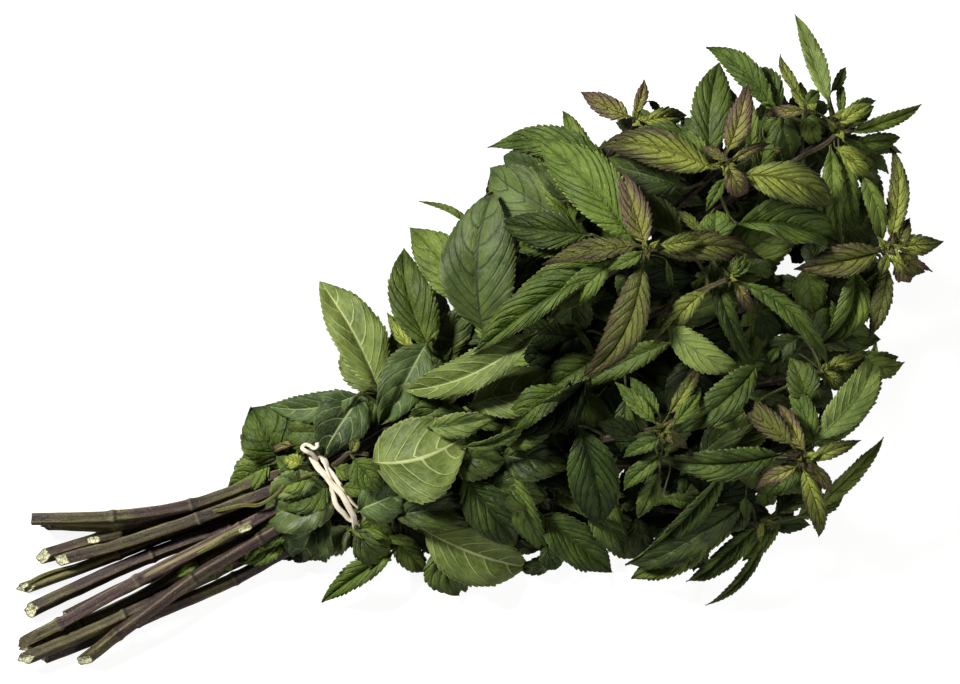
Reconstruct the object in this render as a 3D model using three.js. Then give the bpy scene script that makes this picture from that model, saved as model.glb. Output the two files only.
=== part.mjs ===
// Tied bunch of fresh mint, lying down: square stems, opposite leaves and a twisted rubber band.
// Millimetres, +Z up, +X from the cut ends of the stems to the shoot tips. The origin is at the
// bottom centre of the bunch.

import * as THREE from 'three';

// ---- driving dimensions -------------------------------------------------------------------

const MIDDLE = new THREE.Vector3(4.65, 0.22, 0); // middle of the bunch in the tables' own X and Y

const STEM_WIDTH = 4.3; // across the flats at the cut end
const STEM_TIP_WIDTH = 2.0; // across the flats just under the shoot tip
const STEM_CORNER = 1.07; // reach of the blunted corners, as a share of half the width
const STEM_CUT_SLOPE = 0.9; // how far the cut face leans back, for each mm of height
const STEM_RINGS = 20;

const BLADE_THICKNESS = 0.5; // at the midrib
const BLADE_START = 0.07; // the blade begins past its stalk, as a share of the leaf
const BLADE_STATIONS = [0.07, 0.17, 0.28, 0.4, 0.52, 0.64, 0.76, 0.87, 0.95];

const BAND_MIDDLE = new THREE.Vector3(-52.8, -4, 13.2);
const BAND_HALF_WIDTH = 17.2; // the loop's middle line, across the bunch
const BAND_HALF_HEIGHT = 11.4;
const BAND_STRAND = 1.0; // half the thickness of the rubber
const BAND_SPREAD = 1.7; // how far each turn wanders along the bunch
const BAND_LEAN = 0.13; // the loop leans along the bunch, for each mm across it
const BAND_TURNS = 2;
const BAND_RINGS = 72;

// Stems: name, then the points of the stem's middle line, from the cut end to the shoot tip.
const STEMS = [
  ['stem_01', [[-156.5, 26.3, 9], [-129.5, 16.4, 11.8], [-101.8, 9.8, 13.4], [-75, 8.6, 13.4],
    [-52, 7.1, 12.4], [-10, 18, 13], [40, 42, 18], [78, 67, 30], [93, 76, 49]]],
  ['stem_02', [[-152.5, 22.6, 5], [-130, 13.2, 7.2], [-110, 9.2, 8.3], [-85, 4.5, 9.5],
    [-52, 1.7, 12.4], [0, 10, 19], [50, 26, 27], [90, 41, 38], [108, 47.5, 54],
    [115.5, 50, 71]]],
  ['stem_03', [[-158, 12.5, 3], [-137, 10.6, 3.2], [-110, 9, 3.1], [-80, 6.2, 5],
    [-52, 4.4, 7.5], [0, 14, 11], [60, 28, 19], [110, 38, 25], [140, 43, 35], [157, 46, 51]]],
  ['stem_04', [[-152, 9, 7.6], [-130, 6.4, 8.4], [-101.5, 4.6, 12.4], [-85, 4.2, 15.8],
    [-52, 4.4, 17.3], [-10, 12, 24], [35, 23, 33], [64, 30, 48], [79, 33, 78]]],
  ['stem_05', [[-168, 4.6, 2.15], [-150, 3.8, 2.15], [-133, 3.4, 2.15], [-110, 2.8, 2.5],
    [-80, 0.2, 4.8], [-52, -1, 7.5], [10, 4, 9], [70, 10, 15], [120, 14, 21], [135, 16, 26]]],
  ['stem_06', [[-169, -3.4, 3.4], [-150, -2.4, 3.4], [-125, -1.5, 3.8], [-100, -2.2, 7],
    [-80, -3.5, 10], [-52, -3.7, 12.4], [10, -2, 16], [80, 0, 22], [132, 2, 31], [157, 3, 48]]],
  ['stem_07', [[-174, -12.8, 7.4], [-161, -11.7, 8], [-130, -7.8, 10.5], [-110, -6, 12.5],
    [-89, -4.2, 15], [-71, -2.2, 17.2], [-52, -1, 17.3], [0, 2, 25], [48, 8, 33], [76, 11.6, 48],
    [91, 12.6, 63], [102, 13, 69]]],
  ['stem_08', [[-176, -15.3, 2.15], [-155, -15, 2.15], [-130, -13.5, 2.6], [-108, -10.3, 7.6],
    [-85, -9.2, 10], [-52, -9.1, 12.4], [0, -18, 17], [50, -36, 24], [86, -48, 38],
    [102, -53.5, 65]]],
  ['stem_09', [[-177, -18.6, 7.2], [-150, -18.3, 7], [-139, -17.8, 6.8], [-120, -16.6, 6.2],
    [-100, -15.2, 4.4], [-85, -14.2, 4.2], [-52, -11.8, 7.5], [0, -24, 8], [30, -38, 11], [50, -49, 15]]],
  ['stem_10', [[-171, -20.8, 2.15], [-150, -21, 2.15], [-130, -21, 2.15], [-98, -20.2, 3.4],
    [-75, -17.5, 8], [-52, -14.5, 12.4], [-20, -22, 13], [30, -42, 16], [65, -61, 21],
    [80, -70, 32]]],
  ['stem_11', [[-158, -10.4, 2.15], [-130, -8.2, 2.15], [-100, -7.2, 3], [-75, -6.8, 5.3],
    [-52, -6.4, 7.5], [10, -10, 10], [70, -20, 16], [108, -27, 29], [121, -29.5, 47]]],
  ['stem_12', [[-158, -27, 4.8], [-143.5, -22.8, 8.6], [-130, -19.4, 11], [-111.5, -14.6, 12],
    [-95, -11.9, 14], [-75, -9, 17], [-52, -6.4, 17.3], [-10, -12, 24], [28, -20, 33],
    [48, -24, 46], [60.5, -26, 70]]],
];

// Leaves: name, base, tip, width, arch (rise of the middle above the straight line), sway (bend
// to the right of the way to the tip), roll (degrees, right edge down), fold (degrees that each
// half lifts from flat) and the face that shows.
const LEAVES = [
  ['leaf_01', [-25.5, 22, 22], [-30.5, 66.3, 15], 21, 3, 1, 15, 14, 'under'],
  ['leaf_02', [-65, 12, 14], [-69.7, 34, 11], 23, 3, 0, 0, 10, 'mid'],
  ['leaf_03', [-32, 24, 27], [-64.5, 33.8, 18], 13, 2, -3, 0, 12, 'grey'],
  ['leaf_04', [-37.5, 0.5, 32], [-1, -3, 37], 30, 4, 4.6, 0, -6, 'under'],
  ['leaf_05', [-41, -32, 14], [-72.5, -39.7, 3], 20, 3, 0, 25, 25, 'mid'],
  ['leaf_06', [-30, -28, 20], [0, -55.5, 4], 28, 4, 3, 12, 12, 'under'],
  ['leaf_07', [-10, -16, 30], [-1.5, -46.5, 15], 17, 5, -1, 0, 8, 'mid'],
  ['leaf_08', [10, -38, 20], [27, -68.3, 2], 17, 4, 0, 0, 12, 'dark'],
  ['leaf_09', [35, -15, 44], [28.5, -52, 22], 18, 6, -2, 0, 8, 'mid'],
  ['leaf_10', [44, -1, 50], [12.5, -8.5, 41], 25, 3, 0, -25, 25, 'fresh'],
  ['leaf_11', [34, 20.5, 58], [-17, 19.3, 40], 15, 3, -5, 12, 16, 'under'],
  ['leaf_12', [62, 33, 70], [9, 21.5, 54], 17, 3, 0, 30, 30, 'fresh'],
  ['leaf_13', [77, 30, 77], [42, 0.3, 60], 14.5, 6, -5.5, 0, 14, 'grey'],
  ['leaf_14', [82.5, 31.5, 77], [116, 14.8, 61], 11, 5, -2.5, 0, 20, 'young'],
  ['leaf_15', [76, 37, 77], [59, 83, 54], 19, 8, 3, 0, 8, 'fresh'],
  ['leaf_16', [80, 62, 50], [42, 87.5, 33], 12.5, 4, 6.5, 10, 14, 'fresh'],
  ['leaf_17', [64, 45, 63], [36, 61.3, 49], 14, 4, -1, 0, 14, 'dark'],
  ['leaf_18', [16, 27, 40], [38, 72, 42], 27, 6, -2.5, -12, 8, 'grey'],
  ['leaf_19', [16, 38, 30], [6, 71.5, 20], 18, 4, 2, 0, 8, 'mid'],
  ['leaf_20', [-4, 28, 24], [3, 65.5, 14], 14, 4, -2.5, 0, 10, 'mid'],
  ['leaf_21', [92, 78, 51], [79.5, 93, 45], 8, 2, 1, 0, 18, 'young'],
  ['leaf_22', [112, 50, 72], [77.5, 72.5, 58], 14.5, 6, 3, 0, 14, 'young'],
  ['leaf_23', [112, 30, 58], [144, 9, 47], 22, 5, 0, -30, 30, 'dark'],
  ['leaf_24', [117.5, 53.5, 73], [134, 73.2, 68], 10.5, 4, 0, 0, 14, 'purple'],
  ['leaf_25', [115, 58, 60], [128.3, 84.5, 45], 15, 5, -2, 0, 10, 'dark'],
  ['leaf_26', [119, 45, 70], [146.5, 22, 53], 15, 6, -3.5, 0, 12, 'young'],
  ['leaf_27', [140, 62, 54], [126, 91, 38], 11, 5, 5, 0, 12, 'mid'],
  ['leaf_28', [158, 56, 52], [159.7, 90.5, 37], 8.5, 3, 1.2, 0, 18, 'grey'],
  ['leaf_29', [160.5, 44.5, 51], [188.3, 43.6, 36], 7, 2, 0, 0, 16, 'mid'],
  ['leaf_30', [155.5, 2, 49], [125, 7.5, 50], 11, 3, 0, -10, 20, 'young'],
  ['leaf_31', [145, 1, 42], [123.5, -20.5, 36], 16, 4, -4, -35, 35, 'mid'],
  ['leaf_32', [104, 11.5, 68], [123.5, -28.5, 52], 7, 7, -5, 0, 16, 'fresh'],
  ['leaf_33', [99, 23, 61], [98.7, -21, 52], 8, 4, 1.8, 0, 24, 'mid'],
  ['leaf_34', [82, 9, 67], [98.4, -20.5, 62], 10.5, 3, 4.5, 0, 10, 'under'],
  ['leaf_35', [101, -18, 62], [65.5, -30, 66], 12, 3, -2, 0, 10, 'mid'],
  ['leaf_36', [97, -50.5, 62], [56, -34.8, 58], 13, 5, -1.5, -15, 22, 'fresh'],
  ['leaf_37', [101, -49, 68], [90.5, -26, 60], 9, 4, 0, 0, 16, 'young'],
  ['leaf_38', [108, -51, 58], [143, -26.5, 38], 12, 5, 7.5, 0, 10, 'under'],
  ['leaf_39', [97, -70, 32], [134.3, -60.3, 22], 6, 3, 0, 20, 16, 'mid'],
  ['leaf_40', [78, -48, 44], [32, -67.2, 18], 11, 4, 0, -35, 30, 'grey'],
  ['leaf_41', [79, -76, 20], [53, -92, 4], 5, 3, -3.5, 0, 16, 'dark'],
  ['leaf_42', [-8, 20, 6], [-2, 52, 0.2], 19, -1, 2, 0, 4, 'dark'],
  ['leaf_43', [-6, -20, 5], [18, -50, 0.2], 20, -1, -2, 0, 4, 'dark'],
  ['leaf_44', [62, 40, 9], [84, 80, 0.2], 20, -2, 2, 0, 4, 'dark'],
  ['leaf_45', [60, -45, 9], [88, -76, 0.2], 20, -2, 0, 0, 4, 'dark'],
  ['leaf_46', [118, 30, 10], [156, 50, 0.2], 19, -2, 2, 0, 4, 'dark'],
  ['leaf_47', [116, -16, 10], [152, -30, 0.2], 19, -2, -2, 0, 4, 'dark'],
];

const FINISHES = {
  stem: finish(0x5b4738, 0.55),
  rubber: finish(0xe4dac0, 0.6),
  fresh: finish(0x7b9a45, 0.5),
  mid: finish(0x55783a, 0.5),
  dark: finish(0x2f4a26, 0.5),
  grey: finish(0x6f8560, 0.55),
  under: finish(0x8fa668, 0.6),
  young: finish(0x8b8f4a, 0.5),
  purple: finish(0x866a5c, 0.5),
};

// ---- shared shapes --------------------------------------------------------------------------

function finish(color, roughness) {
  return new THREE.MeshStandardMaterial({ color, roughness, metalness: 0 });
}

function point([x, y, z]) {
  return new THREE.Vector3(x, y, z).sub(MIDDLE);
}

// A closed skin over rings of points, turning anticlockwise as seen from the far end. It is
// capped at a point at each end, or it runs back into its first ring where there are no ends.
function skin(rings, start, end) {
  const count = rings[0].length;
  const points = rings.flat();
  const faces = [];
  const looped = start === undefined;
  const strips = looped ? rings.length : rings.length - 1;
  for (let r = 0; r < strips; r += 1) {
    const next = (r + 1) % rings.length;
    for (let k = 0; k < count; k += 1) {
      const side = (k + 1) % count;
      faces.push(r * count + k, r * count + side, next * count + side);
      faces.push(r * count + k, next * count + side, next * count + k);
    }
  }
  if (!looped) {
    const last = (rings.length - 1) * count;
    points.push(start, end);
    for (let k = 0; k < count; k += 1) {
      const side = (k + 1) % count;
      faces.push(points.length - 2, side, k);
      faces.push(points.length - 1, last + k, last + side);
    }
  }
  const shape = new THREE.BufferGeometry().setFromPoints(points);
  shape.setIndex(faces);
  shape.computeVertexNormals();
  return shape;
}

// The way along, the right-hand side and the upper side of a line that runs along `along`.
function axes(along) {
  const way = along.clone().normalize();
  const right = new THREE.Vector3(way.y, -way.x, 0).normalize();
  const up = new THREE.Vector3().crossVectors(right, way);
  return { way, right, up };
}

// ---- stems ----------------------------------------------------------------------------------

function stemRing(centre, along, width, cutSlope) {
  const { way, right, up } = axes(along);
  const ring = [];
  for (let corner = 0; corner < 4; corner += 1) {
    for (const lean of [-1, 1]) {
      const angle = (corner + 0.5) * (Math.PI / 2) + lean * 0.42;
      const radius = (width / 2) * STEM_CORNER;
      const across = Math.cos(angle) * radius;
      const rise = Math.sin(angle) * radius;
      ring.push(centre.clone()
        .addScaledVector(right, across)
        .addScaledVector(up, rise)
        .addScaledVector(way, cutSlope * rise));
    }
  }
  return ring.reverse();
}

function stem(route) {
  const line = new THREE.CatmullRomCurve3(route.map(point), false, 'centripetal');
  const rings = [];
  for (let k = 0; k <= STEM_RINGS; k += 1) {
    const share = k / STEM_RINGS;
    const width = THREE.MathUtils.lerp(STEM_WIDTH, STEM_TIP_WIDTH, share * share);
    const slope = k === 0 ? STEM_CUT_SLOPE : 0;
    rings.push(stemRing(line.getPointAt(share), line.getTangentAt(share), width, slope));
  }
  return skin(rings, line.getPoint(0), line.getPoint(1));
}

// ---- leaves ---------------------------------------------------------------------------------

// Half the blade's width at a share of the way to the tip, as a share of its greatest half width.
function bladeOutline(share) {
  const along = (share - 0.04) / 0.96;
  return (along ** 0.75 * (1 - along) ** 0.95) / 0.311;
}

function leaf([, base, tip, width, arch, sway, roll, fold]) {
  const from = point(base);
  const { right, up } = axes(point(tip).sub(from));
  const turn = THREE.MathUtils.degToRad(roll);
  const face = up.clone().multiplyScalar(Math.cos(turn)).addScaledVector(right, Math.sin(turn));
  const side = right.clone().multiplyScalar(Math.cos(turn)).addScaledVector(up, -Math.sin(turn));
  const lift = THREE.MathUtils.degToRad(fold);
  const midrib = (share) => {
    const bow = 4 * share * (1 - share);
    return from.clone().lerp(point(tip), share)
      .addScaledVector(face, arch * bow)
      .addScaledVector(side, sway * bow);
  };
  const onBlade = (share, across, layer) => {
    const half = (width / 2) * bladeOutline(share);
    const thickness = (layer * BLADE_THICKNESS * (1 - across * across)) / 2;
    const spot = midrib(share)
      .addScaledVector(side, half * across * Math.cos(lift))
      .addScaledVector(face, half * Math.abs(across) * Math.sin(lift) + thickness);
    spot.z = Math.max(spot.z, layer > 0 ? BLADE_THICKNESS : 0);
    return spot;
  };
  const rings = BLADE_STATIONS.map((share) => [
    ...[-1, -0.5, 0, 0.5, 1].map((across) => onBlade(share, across, 1)),
    ...[0.5, 0, -0.5].map((across) => onBlade(share, across, -1)),
  ]);
  return skin(rings, midrib(BLADE_START - 0.01), midrib(1));
}

// ---- rubber band ----------------------------------------------------------------------------

// The band's middle line goes round the bunch BAND_TURNS times and meets itself again. The
// turns cross over on the upper side.
function bandPoint(share) {
  const angle = share * BAND_TURNS * 2 * Math.PI;
  const wander = Math.cos(share * 2 * Math.PI);
  const out = 1 + 0.075 * Math.sin(share * 2 * Math.PI);
  const across = BAND_HALF_WIDTH * out * Math.cos(angle);
  const rise = BAND_HALF_HEIGHT * out * Math.sin(angle);
  return new THREE.Vector3(BAND_SPREAD * wander - BAND_LEAN * across, across, rise)
    .add(point(BAND_MIDDLE.toArray()));
}

function band() {
  const rings = [];
  for (let k = 0; k < BAND_RINGS; k += 1) {
    const share = k / BAND_RINGS;
    const here = bandPoint(share);
    const way = bandPoint(share + 0.002).sub(here).normalize();
    const out = here.clone().sub(point(BAND_MIDDLE.toArray())).setX(0).normalize();
    const aside = new THREE.Vector3().crossVectors(way, out).normalize();
    out.crossVectors(aside, way);
    const ring = [];
    for (let corner = 0; corner < 6; corner += 1) {
      const angle = (corner * Math.PI) / 3;
      ring.push(here.clone()
        .addScaledVector(aside, Math.cos(angle) * BAND_STRAND)
        .addScaledVector(out, Math.sin(angle) * BAND_STRAND * 0.8));
    }
    rings.push(ring.reverse());
  }
  return skin(rings);
}

// ---- the bunch ------------------------------------------------------------------------------

const bunch = new THREE.Group();

function add(name, shape, material) {
  const piece = new THREE.Mesh(shape, material);
  piece.name = name;
  bunch.add(piece);
}

for (const [name, route] of STEMS) {
  add(name, stem(route), FINISHES.stem);
}
for (const row of LEAVES) {
  add(row[0], leaf(row), FINISHES[row.at(-1)]);
}
add('rubber_band', band(), FINISHES.rubber);

export default bunch;
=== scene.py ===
"""Tied bunch of fresh mint, lying down: square stems, toothed leaves, shoot tips and a rubber band.

Metres, in the CAD frame: +X from the cut ends of the stems to the shoot tips, +Z up. The tables
are in millimetres, measured on the floor from a point near the middle of the bunch, and place()
brings them to the frame. So are the named sizes, apart from those that say metres.
"""

import math
import random

import bmesh
import bpy
from mathutils import Matrix, Vector, noise
from mathutils.bvhtree import BVHTree
from mathutils.kdtree import KDTree


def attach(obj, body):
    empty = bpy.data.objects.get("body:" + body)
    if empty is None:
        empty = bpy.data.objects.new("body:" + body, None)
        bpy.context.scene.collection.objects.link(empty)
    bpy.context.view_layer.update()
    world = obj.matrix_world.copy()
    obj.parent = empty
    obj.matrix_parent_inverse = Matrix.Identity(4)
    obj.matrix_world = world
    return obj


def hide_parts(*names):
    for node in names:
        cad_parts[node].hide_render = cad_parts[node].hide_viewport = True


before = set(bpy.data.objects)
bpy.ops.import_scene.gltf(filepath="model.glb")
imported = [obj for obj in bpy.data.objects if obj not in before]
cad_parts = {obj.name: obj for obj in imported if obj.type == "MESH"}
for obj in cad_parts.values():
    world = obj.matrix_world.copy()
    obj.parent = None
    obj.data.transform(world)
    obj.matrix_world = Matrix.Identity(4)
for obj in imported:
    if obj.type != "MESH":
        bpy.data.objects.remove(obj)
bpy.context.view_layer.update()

MM = 0.001
MIDDLE = Vector((4.65, 0.22, 0))  # the frame's origin, in the tables' own X and Y
UP = Vector((0, 0, 1))
FULL_TURN, QUARTER_TURN, EIGHTH_TURN = 6.28, 1.57, 0.785  # radians, rounded

# ---- leaves: sizes that all of them share -------------------------------------------------------

TOOTH_PITCH = 2.3  # along the margin
LEAF_THICKNESS = 0.26
STALK_WIDTH = 1.1
LEAST_HEIGHT = 0.12  # above the floor
STALK_REACH = 26  # a leaf further from every stem hangs on none

# ---- stems --------------------------------------------------------------------------------------

STEM_WIDTH = 4.3  # across the flats at the cut end
STEM_TIP_WIDTH = 2.0
STEM_STEP = 1.0  # between rings
STEM_SIDES = 24

# Name, points of the middle line, places of the node rings along X, and the greener stretches as
# (from X, to X, how green).
STEMS = [
    ("stem_01", [(-156.5, 26.3, 9), (-129.5, 16.4, 11.8), (-101.8, 9.8, 13.4), (-75, 8.6, 13.4),
                 (-52, 7.1, 12.4), (-10, 18, 13), (40, 42, 18), (78, 67, 30), (93, 76, 49)],
     (-129.5, -102, -62), ((-150, -122, 0.55), (-119, -105, -0.5), (-98, -55, 0.35))),
    # stem_02's green of 1.5 also paints light along its top near the cut end.
    ("stem_02", [(-152.5, 22.6, 5), (-130, 13.2, 7.2), (-110, 9.2, 8.3), (-85, 4.5, 9.5),
                 (-52, 1.7, 12.4), (0, 10, 19), (50, 26, 27), (90, 41, 38), (108, 47.5, 54),
                 (115.5, 50, 71)],
     (-130, -96), ((-156, -128, 1.5),)),
    ("stem_03", [(-158, 12.5, 3), (-137, 10.6, 3.2), (-110, 9, 3.1), (-80, 6.2, 5),
                 (-52, 4.4, 7.5), (0, 14, 11), (60, 28, 19), (110, 38, 25), (140, 43, 35),
                 (157, 46, 51)],
     (-137, -103.5, -68), ((-121, -104, 0.95), (-103, -60, 0.35))),
    ("stem_04", [(-152, 9, 7.6), (-130, 6.4, 8.4), (-101.5, 4.6, 12.4), (-85, 4.2, 15.8),
                 (-52, 4.4, 17.3), (-10, 12, 24), (35, 23, 33), (64, 30, 48), (79, 33, 78)],
     (-101.3, -66), ((-140, -102, 0.35),)),
    ("stem_05", [(-168, 4.6, 2.15), (-150, 3.8, 2.15), (-133, 3.4, 2.15), (-110, 2.8, 2.5),
                 (-80, 0.2, 4.8), (-52, -1, 7.5), (10, 4, 9), (70, 10, 15), (120, 14, 21),
                 (135, 16, 26)],
     (-133, -98), ((-169, -132, 1.0), (-132, -110, 0.4))),
    ("stem_06", [(-169, -3.4, 3.4), (-150, -2.4, 3.4), (-125, -1.5, 3.8), (-100, -2.2, 7),
                 (-80, -3.5, 10), (-52, -3.7, 12.4), (10, -2, 16), (80, 0, 22), (132, 2, 31),
                 (157, 3, 48)],
     (-122, -92), ((-165, -150, 0.35), (-150, -60, -0.25))),
    ("stem_07", [(-174, -12.8, 7.4), (-161, -11.7, 8), (-130, -7.8, 10.5), (-110, -6, 12.5),
                 (-89, -4.2, 15), (-71, -2.2, 17.2), (-52, -1, 17.3), (0, 2, 25), (48, 8, 33),
                 (76, 11.6, 48), (91, 12.6, 63), (102, 13, 69)],
     (-161.5, -130, -89), ((-176, -160, 0.5), (-160, -55, -0.9), (-128, -84, 1.6))),
    ("stem_08", [(-176, -15.3, 2.15), (-155, -15, 2.15), (-130, -13.5, 2.6), (-108, -10.3, 7.6),
                 (-85, -9.2, 10), (-52, -9.1, 12.4), (0, -18, 17), (50, -36, 24), (86, -48, 38),
                 (102, -53.5, 65)],
     (-155, -108, -78), ((-176, -130, 0.6), (-120, -80, 0.5))),
    ("stem_09", [(-177, -18.6, 7.2), (-150, -18.3, 7), (-139, -17.8, 6.8), (-120, -16.6, 6.2),
                 (-100, -15.2, 4.4), (-85, -14.2, 4.2), (-52, -11.8, 7.5), (0, -24, 8),
                 (30, -38, 11), (50, -49, 15)],
     (-139, -104), ((-178, -138, 0.45),)),
    ("stem_10", [(-171, -20.8, 2.15), (-150, -21, 2.15), (-130, -21, 2.15), (-98, -20.2, 3.4),
                 (-75, -17.5, 8), (-52, -14.5, 12.4), (-20, -22, 13), (30, -42, 16),
                 (65, -61, 21), (80, -70, 32)],
     (-136, -98), ((-140, -112, -0.5), (-112, -97, 0.7), (-97, -60, -0.45))),
    ("stem_11", [(-158, -10.4, 2.15), (-130, -8.2, 2.15), (-100, -7.2, 3), (-75, -6.8, 5.3),
                 (-52, -6.4, 7.5), (10, -10, 10), (70, -20, 16), (108, -27, 29),
                 (121, -29.5, 47)],
     (-126, -90), ((-140, -110, 0.2), (-110, -60, -0.5))),
    ("stem_12", [(-158, -27, 4.8), (-143.5, -22.8, 8.6), (-130, -19.4, 11), (-111.5, -14.6, 12),
                 (-95, -11.9, 14), (-75, -9, 17), (-52, -6.4, 17.3), (-10, -12, 24),
                 (28, -20, 33), (48, -24, 46), (60.5, -26, 70)],
     (-143.5, -111.5, -84), ((-159, -144, 0.4), (-142, -60, -0.3))),
]

# Leaves that the CAD model has as solids, from leaf_01 to leaf_47: base, tip, width, arch (rise of
# the middle above the straight line), fold (degrees that each half lifts from flat), look, and
# for some of them sway (bend to the right of the way to the tip) and roll (degrees, right edge
# down).
LEAVES = [
    ((-25.5, 22, 22), (-30.5, 66.3, 15), 20, 3, 14, "under", 1.3, 15),
    ((-65, 12, 14), (-69.7, 34, 11), 23, 3, 10, "deep"),
    ((-32, 24, 27), (-64.5, 32.6, 18), 10.6, 2, 12, "slate", -3),
    ((-37.5, 0.5, 32), (-1, -3, 37), 30, 4, -6, "under", 4.6, -10),
    ((-41, -32, 14), (-72.5, -39.7, 3), 11, 3, 26, "fresh", 0.2, 8),
    ((-30, -28, 20), (0, -55.5, 4), 23, 4, 12, "under", 1, 12),
    ((-10, -16, 30), (-1.5, -46.5, 15), 17, 5, 8, "deep", -1),
    ((10, -38, 20), (27, -68.3, 2), 15.5, 4, 12, "deep"),
    ((35, -15, 44), (28.5, -52, 22), 18, 6, 8, "bottle", -2),
    # leaf_10 takes the look "inner", painted shade.
    ((44, -1, 50), (12.5, -8.5, 41), 19, 3, 34, "inner", 0, -30),
    ((34, 20.5, 58), (-17, 19.3, 40), 15, 3, 16, "under", -5, 12),
    ((62, 33, 70), (9, 21.5, 54), 17, 3, 30, "fresh", 0, 30),
    ((77, 30, 77), (42, 0.3, 60), 13.5, 6, 14, "tawny", -5.5),
    ((82.5, 31.5, 77), (116, 14.8, 61), 11, 5, 14, "tawny", -2.5, -8),
    ((76, 37, 77), (59, 83, 54), 19, 8, 8, "fresh", 3),
    ((80, 62, 50), (42, 87.5, 33), 12.5, 4, 14, "fresh", 5, 10),
    ((64, 45, 63), (36, 61.3, 49), 14, 4, 14, "deep", -1),
    ((16, 27, 40), (38, 72, 42), 27, 6, 8, "grey", -2.5, -12),
    ((16, 38, 30), (6, 71.5, 20), 18, 4, 8, "mid", 2),
    ((-3, 28, 24), (1.5, 66, 14), 16.2, 4, 10, "mid", -2.6),
    ((92, 78, 51), (79.5, 93, 45), 8, 2, 18, "purple", -0.8),
    ((112, 50, 72), (77.5, 72.5, 58), 14.5, 6, 14, "young", 3),
    ((112, 30, 58), (144, 9, 47), 22, 5, 30, "deep", 0, -30),
    ((117.5, 53.5, 73), (134, 73.2, 68), 8.5, 4, 14, "purple", 0.5),
    ((112, 54, 60), (128.3, 84.5, 45), 13.5, 5, 10, "dark", -1.8),
    ((119, 45, 70), (146.5, 22, 53), 15, 6, 12, "young", -3.5),
    ((140, 62, 54), (126, 91, 38), 9.5, 5, 12, "fresh", 2.1),
    ((158, 56, 52), (159.7, 90.5, 37), 7.8, 3, 18, "pale", 0.2),
    ((160.5, 44.5, 51), (189, 44.2, 38), 5.5, 2, 16, "mid", 1),
    ((155.5, 2, 49), (125, 7.5, 50), 13, 3, 20, "tawny", 0, -10),
    ((145, 1, 42), (123.5, -20.5, 36), 16, 4, 26, "mid", -4, -25),
    ((104, 11.5, 68), (123.5, -28.5, 52), 7, 7, 16, "fresh", -5),
    ((99, 23, 61), (98.7, -21, 52), 8, 4, 24, "deep", 1.8),
    ((76, 6.5, 66), (96.5, -19.5, 63), 11, 3, 10, "pale", 3),
    ((101, -18, 62), (65.5, -30, 66), 12, 3, 10, "deep", -2),
    ((97, -50.5, 62), (56, -34.8, 58), 13, 5, 22, "deep", -1.5, -15),
    ((101, -49, 68), (90.5, -26, 60), 9, 4, 16, "tawny"),
    ((108, -51, 58), (143, -26.5, 38), 13, 5, 10, "pale", 4.2),
    ((100.5, -73.5, 34), (133.2, -59.5, 26), 6.5, 3, 16, "mid", -0.5, 20),
    ((78, -48, 44), (32, -67.2, 18), 11, 4, 30, "deep", 0, -35),
    ((83.5, -75, 20), (53.2, -91.7, 4), 4.2, 3, 16, "mid", -3.3),
    ((-8, 20, 6), (-2, 52, 0.2), 19, -1, 4, "dark", 2),
    ((-6, -20, 5), (18, -50, 0.2), 20, -1, 4, "dark", -2),
    ((62, 40, 9), (82, 75, 0.2), 19, -2, 4, "dark", 2),
    ((60, -45, 9), (88, -76, 0.2), 20, -2, 4, "bottle"),
    ((118, 30, 10), (156, 50, 0.2), 19, -2, 4, "dark", 2),
    ((116, -16, 10), (146, -27, 0.2), 19, -2, 4, "dark", -2),
]

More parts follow.
